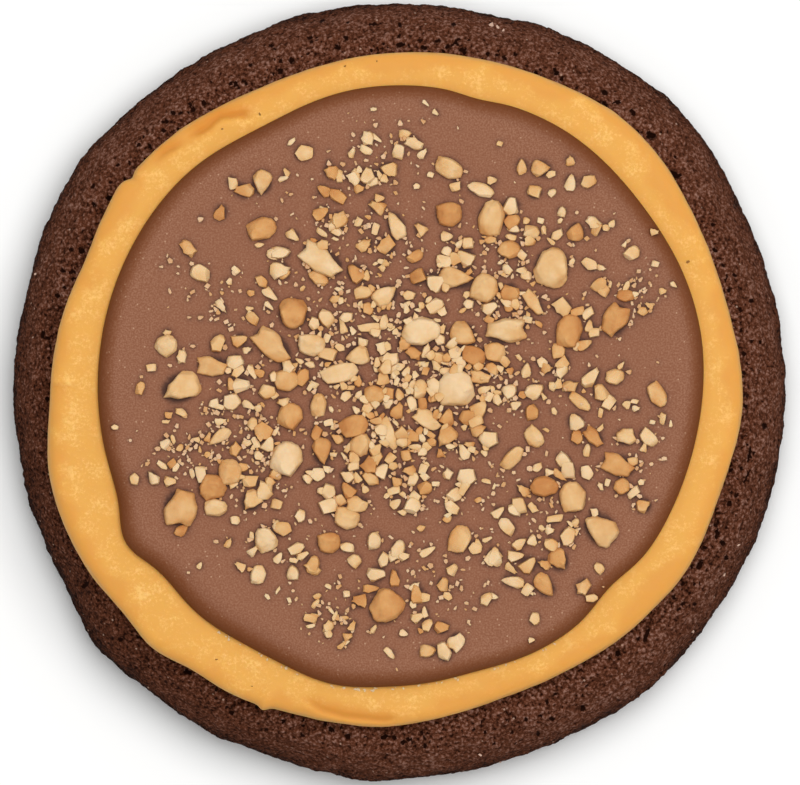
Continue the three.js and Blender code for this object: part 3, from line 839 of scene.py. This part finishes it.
# Smaller ones that stand out, most of them strays that lie apart: the same, with any cut.
STRAY_CHIPS = [
    (17.3, 31.7, 2.4, 1.5, 90, 0.4),
    (21.4, 30.7, 1.6, 1.0, 20, 0.2),
    (24.2, 32.6, 1.6, 1.4, 90, 0.35),
    (24.2, 29.5, 2.5, 1.7, 80, 0.0),
    (26.7, 29.7, 2.4, 1.9, 30, 0.3),
    (19.1, 28.2, 2.2, 1.9, 0, 0.3),
    (21.6, 28.1, 1.3, 1.1, 40, 0.05),
    (23, 25.4, 1.6, 1.3, 80, 0.05),
    (22.7, 24.1, 1.0, 0.7, 60, 0.1),
    (16.1, 23.1, 2.2, 1.5, -30, 0.0),
    (18.7, 22.5, 2.3, 2.0, -20, 0.2),
    (18, 24.1, 1.1, 1.1, 0, 0.35),
    (20.4, 22.8, 1.3, 0.8, 90, 0.1),
    (20, 24.1, 1.1, 1.0, 0, 0.0),
    (27.9, 23, 2.3, 1.5, 80, 0.4),
    (29.2, 23.1, 1.2, 1.0, 0, 0.35),
    (30.1, 23.7, 1.3, 1.0, 60, 0.1),
    (32.9, 19.5, 2.4, 1.9, 30, 0.1),
    (31.9, 20.8, 1.0, 0.7, 60, 0.0),
    (36.1, 22.5, 1.3, 1.1, 0, 0.15),
    (36.2, 18, 1.3, 1.0, 0, 0.0),
    (28.6, 17.4, 1.5, 0.9, -15, 0.1),
    (28.2, 15, 2.5, 1.7, 40, 0.4),
    (24.4, 18.3, 1.3, 0.8, 60, 0.0),
    (26.7, 11, 2.2, 1.5, 50, 0.15),
    (26.9, 9.2, 1.9, 1.3, 80, 0.15),
    (37.3, 14.1, 1.2, 1.1, 0, 0.3),
    (38.8, 15, 1.3, 0.8, -40, 0.0),
    (13.1, 29.8, 1.5, 1.3, 0, 0.1),
    (14.2, 35, 1.0, 0.9, 0, 0.3),
    (20.9, 3.2, 1.8, 1.7, 0, 0.5),
    (22.9, 2.8, 2.3, 1.6, 50, 0.05),
    (27.1, 1.9, 3.4, 2.0, 50, 0.15),
    (29.7, -1.6, 2.3, 1.8, 70, 0.1),
    (28.5, -3.1, 1.5, 0.8, 90, 0.25),
    (31.4, 3.6, 1.6, 0.8, 50, 0.25),
    (33.5, -2.5, 1.2, 1.0, 0, 0.05),
    (33.3, -1.5, 1.3, 0.8, 0, 0.05),
    (37.3, -3.9, 1.9, 1.0, 90, 0.35),
    (38.4, -4.6, 1.1, 0.6, 90, 0.0),
    (35.8, -4.4, 1.0, 0.7, 0, 0.05),
    (35.2, -6.6, 3.0, 2.0, -50, 0.0),
    (26.5, -8.4, 1.9, 1.1, 80, 0.15),
    (33, -10, 1.6, 1.3, 0, 0.4),
    (33.2, -14.4, 2.3, 1.3, 50, 0.0),
    (34.2, -12.9, 1.0, 0.9, 0, 0.0),
    (28.5, -13.5, 1.4, 0.8, -60, 0.0),
    (23.2, -9.9, 2.6, 1.9, -50, 0.0),
    (22.7, -12, 2.6, 1.1, -40, 0.55),
    (19.5, -10.8, 1.8, 1.2, 40, 0.05),
    (18.9, -16.6, 1.8, 1.2, -40, 0.25),
    (16.3, -16.8, 2.1, 1.7, 160, 0.0),
    (22, -18.1, 2.6, 1.2, 15, 0.3),
    (21.3, -19.8, 1.4, 1.3, 0, 0.0),
    (24.9, -18.6, 1.3, 1.1, 60, 0.25),
    (24.9, -20, 1.2, 0.9, 60, 0.25),
    (15.8, -25.2, 2.2, 1.2, -40, 0.25),
    (18.4, -28.4, 1.5, 0.8, -40, 0.0),
    (27.2, -29.3, 1.8, 1.2, 0, 0.25),
    (13.3, -23.6, 2.7, 2.2, 60, 0.1),
    (11.1, -21.7, 1.8, 1.2, 100, 0.25),
    (13.3, -29.1, 1.5, 0.9, -20, 0.0),
    (18.7, -35.3, 1.0, 0.9, 0, 0.0),
    (4, -36.8, 2.4, 1.9, 0, 0.4),
    (-1.4, -37.1, 2.0, 1.0, -50, 0.0),
    (0.6, -34.3, 1.3, 1.1, -20, 0.0),
    (-3.7, -33.7, 1.4, 0.8, 60, 0.1),
    (3.6, -31.3, 1.8, 1.1, 90, 0.05),
    (1.9, -30.2, 1.4, 1.0, 90, 0.0),
    (2.2, -27.7, 1.9, 1.2, 40, 0.0),
    (3.5, -29.2, 1.8, 1.4, 10, 0.25),
    (6.1, -27.4, 2.1, 1.7, 80, 0.5),
    (6.8, -29, 1.6, 1.1, -40, 0.25),
    (-4, -28, 2.4, 1.3, 0, 0.65),
    (-7.5, -28.7, 1.2, 1.1, 20, 0.0),
    (-2.3, -23.9, 2.4, 1.5, 80, 0.1),
    (-0.9, -23.4, 1.8, 1.3, 40, 0.0),
    (4, -22.7, 2.6, 1.2, 30, 0.05),
    (-12.3, -24.6, 2.7, 1.9, 75, 0.5),
    (-13.7, -23.3, 1.9, 1.2, 30, 0.1),
    (-15.1, -25.7, 2.2, 1.8, 90, 0.05),
    (-17.2, -28.2, 1.3, 0.5, 60, 0.0),
    (-18.7, -29.1, 1.1, 0.6, -50, 0.0),
    (-15.6, -29.6, 1.0, 0.6, -60, 0.0),
    (-11.9, -30.1, 1.6, 0.8, 50, 0.25),
    (-12, -31.8, 1.6, 0.7, 0, 0.3),
    (-12.6, -33.3, 1.4, 0.6, 10, 0.0),
    (-10.1, -33.4, 1.9, 1.5, 60, 0.15),
    (-9.6, -31.2, 1.4, 0.6, -50, 0.0),
    (-7.8, -32.1, 1.3, 0.6, 0, 0.3),
    (-7.5, -35.6, 1.2, 0.7, 20, 0.05),
    (-20.7, -22.6, 1.8, 1.3, 45, 0.0),
    (-17.2, -19.2, 1.7, 1.5, -40, 0.15),
    (-16.8, 19.6, 2.9, 1.8, 0, 0.05),
    (-16.9, 17, 3.0, 2.6, 0, 0.0),
    (-15.1, 22, 2.2, 1.5, -40, 0.25),
    (-18.3, 13.7, 2.7, 1.4, -40, 0.0),
    (-18.5, 12, 1.8, 0.9, -45, 0.0),
    (-25.2, 11.9, 2.3, 1.2, -55, 0.0),
    (-21.2, 10.9, 1.4, 0.9, 90, 0.0),
    (-23.2, 17.1, 1.4, 1.0, -30, 0.0),
    (-22.6, 7.2, 2.4, 2.0, 20, 0.45),
    (-32.9, 8.3, 1.4, 0.9, 10, 0.25),
    (-35.1, 3.3, 1.6, 1.3, 20, 0.15),
    (-22.9, 2.8, 2.3, 1.3, 40, 0.2),
    (-20.9, 2.7, 2.3, 1.2, -60, 0.05),
    (-22.5, 0.9, 2.7, 2.2, 15, 0.0),
    (-18.2, -0.3, 2.4, 1.3, -30, 0.05),
    (-26.3, -1.7, 1.8, 1.2, 40, 0.0),
    (-30.9, -3, 2.0, 1.1, -30, 0.3),
    (-25.3, -4.3, 1.8, 1.2, 10, 0.05),
    (-21.3, -2.1, 2.2, 1.2, -30, 0.05),
    (-20.8, -4.7, 2.0, 1.6, 90, 0.2),
    (-23.2, -8.2, 2.2, 1.7, 70, 0.5),
    (-20.3, -7.4, 2.0, 1.1, -50, 0.05),
    (-22.3, -10.8, 2.0, 1.4, 10, 0.6),
    (-21, -12.7, 2.5, 1.9, 15, 0.3),
    (-18.8, -13.8, 2.3, 2.1, 20, 0.35),
    (-37.5, -12.5, 1.9, 1.4, -80, 0.2),
    (-32.5, -12.8, 1.8, 1.6, 0, 0.25),
    (-33.6, -10.5, 1.8, 0.9, -40, 0.0),
    (-31.7, -10.8, 1.5, 0.9, 60, 0.0),
    (-23.3, -18.3, 1.5, 1.3, 0, 0.0),
    (-17.4, -16, 1.9, 1.6, 0, 0.3),
    (-24.2, -21.5, 1.7, 1.0, 60, 0.3),
    (-28.3, -24.7, 1.1, 0.8, 60, 0.25),
    (-40.3, -5.1, 1.1, 0.8, 0, 0.0),
    (-6.8, 33.7, 1.6, 1.0, 70, 0.05),
    (-4.8, 34.1, 2.0, 1.2, -30, 0.0),
    (-3.3, 35.8, 1.9, 0.8, -35, 0.0),
    (-0.2, 33.9, 2.5, 1.8, 90, 0.0),
    (2, 35.1, 2.9, 1.7, -25, 0.0),
    (0.8, 36.4, 1.9, 1.3, 0, 0.3),
    (3.3, 33.6, 1.8, 1.2, 45, 0.0),
    (-8.5, 30.5, 2.1, 1.1, 100, 0.2),
    (-6.1, 30.6, 1.9, 1.1, -55, 0.3),
    (-4, 29.7, 2.1, 1.6, 20, 0.0),
    (-5.7, 28.6, 1.6, 1.5, 0, 0.6),
    (-2.8, 27.3, 1.5, 1.4, 0, 0.3),
    (2.4, 29, 1.1, 0.9, 0, 0.0),
    (4.4, 30.6, 1.1, 1.0, 0, 0.05),
    (8, 29, 1.8, 1.5, 30, 0.25),
    (-10.8, 25.7, 1.2, 1.1, 0, 0.0),
    (-9.1, 23.6, 2.6, 1.3, 35, 0.0),
    (-11, 22.4, 2.0, 0.9, -35, 0.2),
    (-12.1, 21.3, 1.2, 0.8, 0, 0.85),
    (-16.5, 30.1, 1.6, 0.8, 20, 0.0),
    (-15.3, 35.3, 1.6, 0.7, 45, 0.0),
    (6.7, 21.9, 1.8, 1.6, 0, 0.15),
    (8.5, 20.9, 1.6, 1.0, 50, 0.0),
    (8.1, 18.7, 2.3, 2.1, 0, 0.4),
    (3.7, 40.7, 1.3, 0.6, -45, 0.0),
    (5.1, 39.4, 1.1, 0.8, -40, 0.0),
    (-3.7, 39.9, 1.0, 0.6, 0, 0.0),
]
# The pieces between them, strewn by the plain solid's own rule, in millimetres.
SMALL_CHIP_COUNT = 170
SMALL_CHIP_LARGEST, SMALL_CHIP_SMALLEST = 3.0, 1.7
STREW_MIDDLE = (0.6, 0.4)
STREW_SPREAD, STREW_REACH = 19, 38
CHIP_CLEARANCE = 0.36                         # of the two lengths together
STREW_SEED = 7
LOOKS_SEED = 31                               # for all that the plain solid doesn't have
CHIP_HEIGHT = 0.72                            # of a nut's width,
CHIP_TALLEST = 3.0                            # up to this
CHIP_SUNK = 0.3                               # of its height
CHIP_SLOPE = 0.16
CHIP_FOOT = 0.82                              # how much narrower a nut is at its foot
TOASTED_SIDE = 0.22                           # how much more golden it is on one side,
FOOT_SHADE = 0.45                           # and, as painted light and shade, how much deeper at its foot than on its top
# Drifts of crumbs among them: x, y and spread each way, in millimetres.
DRIFTS = [
    (-9, 24, 4.5),
    (-3, 17, 4),
    (-10, 12, 3.5),
    (-31, -8, 2.8),
    (-24, -4, 3.5),
    (-22, -9, 3),
    (0, -11, 5),
    (-10, -32, 3),
    (5, -28, 3.5),
    (15, 3, 3.5),
    (17, 12, 3.5),
    (14, 18, 3),
    (-3, 35, 3.5),
    (20, -17, 3.5),
    (-18, -16, 3),
    (-26, 13, 3.5),
    (34, 14, 2.5),
    (33, -9, 3),
]


def seeded_draw(seed):
    """Even draws from low to high, the same each time and the same as the plain solid's."""
    state = seed

    def draw(low, high):
        nonlocal state
        state = (state * 1664525 + 1013904223) & 0xFFFFFFFF
        return low + (high - low) * state / 2 ** 32

    return draw


def chopped_shape(outline, seed, uneven, cuts, voxel):
    """One piece of nut, a unit long, wide and high: raised from its outline, then chopped.

    The cuts take off its upper edges: the steeper a cut, the nearer to the outline. Where a
    voxel size is given, its edges are softened to about that size and its faces are dented.
    """
    draw = random.Random(seed)
    corners = []
    for (x1, y1), (x2, y2) in zip(outline, outline[1:] + outline[:1]):
        swell = draw.uniform(1 - uneven, 1 + uneven)
        corners.append((x1 * swell, y1 * swell))
        if cuts:
            # The break to the next corner isn't quite straight.
            share = draw.uniform(0.3, 0.7)
            swell = draw.uniform(1 - 0.4 * uneven, 1.05 + 0.7 * uneven)
            corners.append(((x1 + (x2 - x1) * share) * swell, (y1 + (y2 - y1) * share) * swell))
    bpy.ops.mesh.primitive_circle_add(vertices=len(corners), radius=1, fill_type="NGON")
    piece = bpy.context.object
    move_points(piece, [(x, y, 0) for x, y in corners])
    bpy.ops.object.mode_set(mode="EDIT")
    bpy.ops.mesh.select_all(action="SELECT")
    bpy.ops.transform.resize(value=(CHIP_FOOT, CHIP_FOOT, 1))
    bpy.ops.mesh.extrude_region_move(TRANSFORM_OT_translate={"value": (0, 0, 0.5)})
    bpy.ops.transform.resize(value=(1 / CHIP_FOOT, 1 / CHIP_FOOT, 1))
    bpy.ops.mesh.extrude_region_move(TRANSFORM_OT_translate={"value": (0, 0, 0.5)})
    bpy.ops.transform.resize(value=(draw.uniform(0.76, 0.96), draw.uniform(0.76, 0.96), 1))
    for axis in "XY":
        bpy.ops.transform.rotate(
            value=math.radians(draw.uniform(-10, 10)), orient_axis=axis, center_override=(0, 0, 1))
    for _ in range(cuts):
        around = draw.uniform(0, math.tau)
        flatness = draw.uniform(0, 1)
        rise = math.radians(32 + 46 * flatness)
        reach = 0.75 - 0.55 * flatness
        bpy.ops.mesh.select_all(action="SELECT")
        bpy.ops.mesh.bisect(
            plane_co=(reach * math.cos(around), reach * math.sin(around), 1),
            plane_no=(
                math.cos(around) * math.cos(rise), math.sin(around) * math.cos(rise),
                math.sin(rise)),
            use_fill=True, clear_outer=True)
    bpy.ops.mesh.select_all(action="SELECT")
    bpy.ops.mesh.normals_make_consistent(inside=False)
    bpy.ops.object.mode_set(mode="OBJECT")
    if voxel:
        softened = piece.modifiers.new("softened", "REMESH")
        softened.mode = "VOXEL"
        softened.voxel_size = voxel
        bpy.ops.object.modifier_apply(modifier=softened.name)
        relief(piece, "dents", "CLOUDS", size=0.5, strength=0.1)
        relief(piece, "chips", "CLOUDS", size=0.18, strength=0.06)
    bpy.ops.object.mode_set(mode="EDIT")
    bpy.ops.mesh.select_all(action="SELECT")
    bpy.ops.mesh.quads_convert_to_tris()
    bpy.ops.object.mode_set(mode="OBJECT")
    points = points_of(piece)
    low, high = points.min(0), points.max(0)
    points = (points - (low + high) / 2) / (high - low)
    faces = np.empty(len(piece.data.polygons) * 3, np.int64)
    piece.data.polygons.foreach_get("vertices", faces)
    bpy.data.objects.remove(piece)
    return points, faces.reshape(-1, 3)


def strewn_piece(name, chips, crisp):
    """One mesh of many nuts: each a shape at its own length, width, height, turn and place.

    Only edges sharper than the crisp angle, in degrees, show as edges: none do at 180.
    """
    all_points, all_faces, golden = [], [], []
    count = 0
    for chip in chips:
        points, faces = chip["shape"]
        sized = points * (chip["length"], chip["width"], chip["height"])
        turn = chip["turn"]
        x = sized[:, 0] * math.cos(turn) - sized[:, 1] * math.sin(turn)
        y = sized[:, 0] * math.sin(turn) + sized[:, 1] * math.cos(turn)
        z = sized[:, 2] + chip["slope"][0] * x + chip["slope"][1] * y
        all_points.append(np.stack([x, y, z], 1) + (chip["x"], chip["y"], chip["z"]))
        all_faces.append(faces + count)
        toasted_from = (math.cos(chip["toasted"]), math.sin(chip["toasted"]))
        toasted = TOASTED_SIDE * np.clip(2.5 * (points[:, :2] @ toasted_from) - 0.4, 0, 1)
        # Higher up, the nut is painted paler, and at its foot deeper, as light and shade.
        toasted += FOOT_SHADE * (0.45 - points[:, 2])
        golden.append(np.clip(chip["golden"] + toasted, 0, 1))
        count += len(points)
    all_points = np.concatenate(all_points) * MM
    all_faces = np.concatenate(all_faces)
    mesh = bpy.data.meshes.new(name)
    mesh.from_pydata(all_points, [], all_faces)
    piece = bpy.data.objects.new(name, mesh)
    scene.collection.objects.link(piece)
    keep_share(piece, "golden", np.concatenate(golden))
    bpy.ops.object.select_all(action="DESELECT")
    piece.select_set(True)
    bpy.context.view_layer.objects.active = piece
    bpy.ops.object.shade_smooth_by_angle(angle=math.radians(crisp))
    return piece


def shapes_of(names, variants, **how):
    """Several uneven shapes of each named cut."""
    return {
        name: [chopped_shape(CUTS[name], 17 * i + len(name), **how) for i in range(variants)]
        for name in names}


# The finer the nuts, the fewer faces their shapes have.
fine_cuts = ("grit", "block", "shard", "slab", "wedge")
large_shapes = shapes_of(LARGE_CHIPS, 6, uneven=0.07, cuts=6, voxel=0.105)
small_shapes = shapes_of(fine_cuts, 8, uneven=0.14, cuts=4, voxel=0)
bit_shapes = shapes_of(fine_cuts, 6, uneven=0.16, cuts=2, voxel=0)
grain_shapes = shapes_of(fine_cuts, 5, uneven=0.16, cuts=0, voxel=0)


def lying_chip(x, y, length, width, turn, golden, shape, draw):
    """A nut's place, size, cut and colour, lying on the chocolate and a little sunk in it."""
    height = min(width * CHIP_HEIGHT, CHIP_TALLEST)
    return {
        "x": x, "y": y, "z": CHOCOLATE_TOP / MM + (0.5 - CHIP_SUNK) * height,
        "length": length, "width": width, "height": height, "turn": turn,
        "golden": golden, "toasted": draw.uniform(0, math.tau), "shape": shape,
        "slope": [draw.uniform(-CHIP_SLOPE, CHIP_SLOPE) for _ in "xy"],
    }


# The larger nuts lie where the plain solid has them.
looks = random.Random(LOOKS_SEED)
places = seeded_draw(STREW_SEED)
nuts = []
for cut, rows in LARGE_CHIPS.items():
    for x, y, length, width, degrees, golden in rows:
        shape = looks.choice(large_shapes[cut])
        nuts.append(lying_chip(x, y, length, width, math.radians(degrees), golden, shape, looks))
large_count = len(nuts)

while len(nuts) < large_count + SMALL_CHIP_COUNT:
    share = (len(nuts) - large_count) / SMALL_CHIP_COUNT
    length = SMALL_CHIP_LARGEST + (SMALL_CHIP_SMALLEST - SMALL_CHIP_LARGEST) * share
    distance = STREW_SPREAD * math.sqrt(-2 * math.log(1 - places(0, 1)))
    around = places(0, math.tau)
    x = STREW_MIDDLE[0] + distance * math.cos(around)
    y = STREW_MIDDLE[1] + distance * math.sin(around)
    width = length * places(0.62, 0.95)
    turn = places(0, math.pi)
    free = all(
        math.hypot(x - other["x"], y - other["y"]) > CHIP_CLEARANCE * (length + other["length"])
        for other in nuts)
    if distance < STREW_REACH and free:
        shape = looks.choice(small_shapes[looks.choice(fine_cuts)])
        golden = 0.85 * looks.random() ** 1.9
        nuts.append(lying_chip(x, y, length, width, turn, golden, shape, looks))

strays = []
for x, y, length, width, degrees, golden in STRAY_CHIPS:
    shape = looks.choice(small_shapes[looks.choice(fine_cuts)])
    strays.append(lying_chip(x, y, length, width, math.radians(degrees), golden, shape, looks))

# The finer ones fall on the chocolate or on the nuts that already lie there. The pile is how
# high they stand over the chocolate, cell by cell, in millimetres.
PILE_REACH = 45
CELL = 0.2
CELLS = int(2 * PILE_REACH / CELL)
ROLL_OFF_HEIGHT, STAY_HEIGHT = 0.25, 1.2      # from the first up most roll off, then all do
ROLL, ROLLS = 0.6, 8                          # how far at a time, and how often at most
SETTLED = 0.8                                 # how much of the height under it lifts a crumb
pile = np.zeros((CELLS, CELLS))
across = (np.arange(CELLS) + 0.5) * CELL - PILE_REACH


def cells_under(chip):
    """The cells of the pile under a nut, and which of them its oval outline covers."""
    near_x = np.abs(across - chip["x"]) < chip["length"] / 2
    near_y = np.abs(across - chip["y"]) < chip["length"] / 2
    dx, dy = np.meshgrid(across[near_x] - chip["x"], across[near_y] - chip["y"], indexing="ij")
    along = dx * math.cos(chip["turn"]) + dy * math.sin(chip["turn"])
    aside = dy * math.cos(chip["turn"]) - dx * math.sin(chip["turn"])
    covered = (2 * along / chip["length"]) ** 2 + (2 * aside / chip["width"]) ** 2 < 0.9
    return np.ix_(near_x, near_y), covered


def pile_up(chip):
    """Notes how high a nut's top stands over the chocolate."""
    cells, covered = cells_under(chip)
    top = chip["z"] + chip["height"] / 2 - CHOCOLATE_TOP / MM
    pile[cells] = np.where(covered, np.maximum(pile[cells], top), pile[cells])


for chip in nuts + strays:
    pile_up(chip)


def rolled_off(x, y):
    """Where a crumb comes to rest that fell at x, y: it rolls about until it is off the nuts."""
    for _ in range(ROLLS):
        cell = int((x + PILE_REACH) / CELL), int((y + PILE_REACH) / CELL)
        if pile[cell] < ROLL_OFF_HEIGHT:
            break
        way = looks.uniform(0, math.tau)
        x += ROLL * math.cos(way)
        y += ROLL * math.sin(way)
    return x, y


def strew(count, largest, smallest, spread_each_way, reach, drifted, stays, shapes):
    """Nuts of falling size, thickest about the middle, each let down on what lies under it.

    A share of them is strewn in drifts, and a share of those on top of a nut stay there.
    """
    strewn = []
    while len(strewn) < count:
        length = largest + (smallest - largest) * len(strewn) / count
        middle_x, middle_y, spread = (*STREW_MIDDLE, spread_each_way)
        if looks.random() < drifted:
            middle_x, middle_y, spread = looks.choice(DRIFTS)
        x = looks.gauss(middle_x, spread)
        y = looks.gauss(middle_y, spread)
        if math.hypot(x, y) > reach:
            continue
        x, y = rolled_off(x, y)
        width = length * looks.uniform(0.45, 0.95)
        shape = looks.choice(looks.choice(list(shapes.values())))
        golden = 0.75 * looks.random() ** 2
        chip = lying_chip(x, y, length, width, looks.uniform(0, math.pi), golden, shape, looks)
        cells, covered = cells_under(chip)
        under = pile[cells][covered]
        if under.size:
            height = under.mean()
            if height > ROLL_OFF_HEIGHT and (height > STAY_HEIGHT or looks.random() > stays):
                continue
            chip["z"] += SETTLED * float(height)
        pile_up(chip)
        strewn.append(chip)
    return strewn


# How many of each size, from and to what length, how far they spread and reach at most, and
# the shares of them that drift and that stay.
chips = strew(40, 2.5, 1.7, 8, 24, 0, 0.8, small_shapes)
bits = strew(230, 1.7, 1.0, 10, 38, 0.3, 0.4, bit_shapes)
grains = strew(560, 1.0, 0.6, 14, 39, 0.5, 0.2, grain_shapes)
specks = strew(560, 0.6, 0.3, 16, 40, 0.55, 0.2, grain_shapes)

# Shade is painted on the chocolate close round the nuts, and over it among many of them.
SHADE_CLOSE, SHADE_AROUND = 1.0, 0.5              # its strength close by a nut, and among many
SHADE_SPREAD_CLOSE, SHADE_SPREAD = 2, 16            # steps of a cell that it spreads
SHADE_FROM = 0.1                                # lower crumbs than this cast none
SHADE_MOST = 0.95
nut_shade_map = (pile > SHADE_FROM).astype(float)
for step in range(1, SHADE_SPREAD + 1):
    for axis in (0, 1):
        nut_shade_map = (np.roll(nut_shade_map, 1, axis) + nut_shade_map + np.roll(nut_shade_map, -1, axis)) / 3
    if step == SHADE_SPREAD_CLOSE:
        close_shade_map = nut_shade_map
nut_shade_map = SHADE_CLOSE * close_shade_map + SHADE_AROUND * nut_shade_map
cell = ((points_of(disc)[:, :2] / MM + PILE_REACH) / CELL).astype(int)
cell = np.clip(cell, 0, CELLS - 1)
keep_share(disc, "nut_shade", np.clip(nut_shade_map[cell[:, 0], cell[:, 1]], 0, SHADE_MOST))

# Roasted peanut: dry and dull, cream where it broke, golden where it was toasted, and painted
# deeper towards its foot as its shade. The finest of it is dulled and reddened a little by the
# chocolate round it.
NUT_PALE = "e5c69c"
NUT_CREAM = "dcb37e"
NUT_GOLD = "d09a60"
NUT_TOASTED = "be814b"
DUST_PALE = "deb893"
DUST_DEEP = "cb9d72"


def nut_material(name, tones):
    """Dry roasted nut, its colour between tones by how golden each face is, with the shade at each
    nut's foot painted in.
    """
    material, tree, surface = new_material(name)
    place = add_node(tree, "ShaderNodeTexCoord").outputs["Object"]
    golden = add_node(tree, "ShaderNodeAttribute", attribute_name="golden")
    patch = add_node(tree, "ShaderNodeTexNoise", {
        "Vector": place, "Scale": 1 / (2.6 * MM), "Detail": 3.0})
    patched = add_node(tree, "ShaderNodeMapRange", {
        "Value": patch.outputs["Fac"],
        "From Min": 0.3, "From Max": 0.7, "To Min": -0.16, "To Max": 0.2})
    toast = add_node(tree, "ShaderNodeMath", {
        0: golden.outputs["Fac"], 1: patched.outputs["Result"]}, operation="ADD", use_clamp=True)
    tone = add_node(tree, "ShaderNodeValToRGB", {"Fac": toast.outputs["Value"]})
    tone.color_ramp.elements[0].color = linear(tones[0])
    tone.color_ramp.elements[1].color = linear(tones[-1])
    for i, shade in enumerate(tones[1:-1], 1):
        tone.color_ramp.elements.new(i / (len(tones) - 1)).color = linear(shade)
    fibre = add_node(tree, "ShaderNodeTexNoise", {
        "Vector": place, "Scale": 1 / (0.4 * MM), "Detail": 3.0})
    fibre_bump = add_node(tree, "ShaderNodeBump", {
        "Height": fibre.outputs["Fac"], "Strength": 0.3, "Distance": 0.08 * MM})
    shader = add_node(tree, "ShaderNodeBsdfPrincipled", {
        "Base Color": tone.outputs["Color"], "Roughness": 0.85, "IOR": 1.46,
        "Specular IOR Level": 0.12,
        "Subsurface Weight": 0.25, "Subsurface Radius": (1.0, 0.6, 0.3),
        "Subsurface Scale": 0.8 * MM, "Normal": fibre_bump.outputs["Normal"]})
    tree.links.new(shader.outputs["BSDF"], surface)
    return material


nut = nut_material("roasted peanut", (NUT_PALE, NUT_CREAM, NUT_GOLD, NUT_TOASTED))
nut_dust = nut_material("fine roasted peanut", (DUST_PALE, DUST_DEEP, NUT_GOLD))
# Each kind: its nuts, the angle in degrees from which its edges are crisp, and its finish.
for name, strewn, crisp, finish in (
    ("nut_lumps", nuts[:large_count], 180, nut),
    ("nut_pieces", nuts[large_count:], 44, nut),
    ("nut_chips", strays + chips, 44, nut),
    ("nut_bits", bits, 30, nut),
    ("nut_grains", grains, 30, nut_dust),
    ("nut_specks", specks, 30, nut_dust),
):
    piece = strewn_piece(name, strewn, crisp)
    piece.data.materials.append(finish)
    wear(piece, "milk_chocolate")

# ---- The scraps and flakes ----
# A few scraps of the nuts' brown skin in the peanut butter, a row of pale crumbs caught along
# the chocolate's lower edge, and flakes of sugar baked on to the crust.

# Where they lie: x, y, across in millimetres.
SKIN_SCRAPS = [
    (-7.7, 46, 0.4),
    (-3.2, 46.7, 0.3),
    (5.2, 44.2, 0.4),
    (40.8, 18.3, 0.6),
    (-25.1, 37.1, 0.35),
    (-19.8, 39.2, 0.5),
    (-25.9, -38, 0.4),
    (-20.9, -41.8, 0.3),
    (7.6, -42.2, 0.4),
]
SUGAR_FLAKES = [
    (13, 51.8, 0.9),
    (13.9, 51.5, 0.7),
    (14.7, 51, 0.6),
    (46, -26, 0.6),
    (48, -21.8, 0.5),
    (41.5, -34, 0.6),
    (11.4, -51.5, 0.6),
    (14.2, -52.5, 0.5),
    (-51.5, 16.6, 0.5),
]
EDGE_CRUMBS = 44
EDGE_CRUMBS_FROM, EDGE_CRUMBS_TO = 232, 302   # degrees from +X
EDGE_CRUMBS_OFF = (0.1, 0.5)                  # from the chocolate's edge, in millimetres
EDGE_CRUMBS_ACROSS = (0.25, 0.55)
FLAKE_SUNK = 0.05
FLAKE_CRISP = 30                              # degrees, as of the finest nuts
SKIN = "93632f"


def lying_flakes(rows, carrier):
    """Thin flakes laid on a piece: each at the height of the carrier's point under it."""
    points = points_of(carrier) / MM
    points = points[points[:, 2] > WIDEST_HEIGHT / MM]
    flakes = []
    for x, y, across in rows:
        under = points[np.argmin(np.hypot(points[:, 0] - x, points[:, 1] - y)), 2]
        shape = looks.choice(looks.choice(list(grain_shapes.values())))
        width = across * looks.uniform(0.5, 0.8)
        flake = lying_chip(x, y, across, width, looks.uniform(0, math.pi), 0, shape, looks)
        flake["z"] = under + flake["height"] / 2 - FLAKE_SUNK
        flakes.append(flake)
    return flakes


edge_rows = []
for _ in range(EDGE_CRUMBS):
    around = math.radians(looks.uniform(EDGE_CRUMBS_FROM, EDGE_CRUMBS_TO))
    from_middle = edge_reach(DISC_RADIUS, DISC_MIDDLE, DISC_SWELLS, around) / MM
    from_middle += looks.uniform(*EDGE_CRUMBS_OFF)
    edge_rows.append((
        from_middle * math.cos(around), from_middle * math.sin(around),
        looks.uniform(*EDGE_CRUMBS_ACROSS)))

# Peanut skin is papery, brown and dull. Baked sugar is dry and pale.
skin, tree, surface = new_material("peanut skin")
skin_shader = add_node(tree, "ShaderNodeBsdfPrincipled", {
    "Base Color": linear(SKIN), "Roughness": 0.7, "Specular IOR Level": 0.15})
tree.links.new(skin_shader.outputs["BSDF"], surface)
sugar, tree, surface = new_material("baked sugar")
sugar_shader = add_node(tree, "ShaderNodeBsdfPrincipled", {
    "Base Color": linear(SUGAR), "Roughness": 0.6, "Specular IOR Level": 0.2})
tree.links.new(sugar_shader.outputs["BSDF"], surface)
# Each kind: where it lies, on which piece, the node that this stands for, slot and finish.
for name, rows, carrier, node, slot, finish in (
    ("skin_scraps", SKIN_SCRAPS, spread, "peanut_butter", "chopped_peanut", skin),
    ("edge_crumbs", edge_rows, spread, "peanut_butter", "chopped_peanut", nut),
    ("sugar_flakes", SUGAR_FLAKES, cookie, "brownie_cookie", "baked_brownie", sugar),
):
    piece = strewn_piece(name, lying_flakes(rows, carrier), FLAKE_CRISP)
    piece.data.materials.append(finish)
    wear(piece, node)
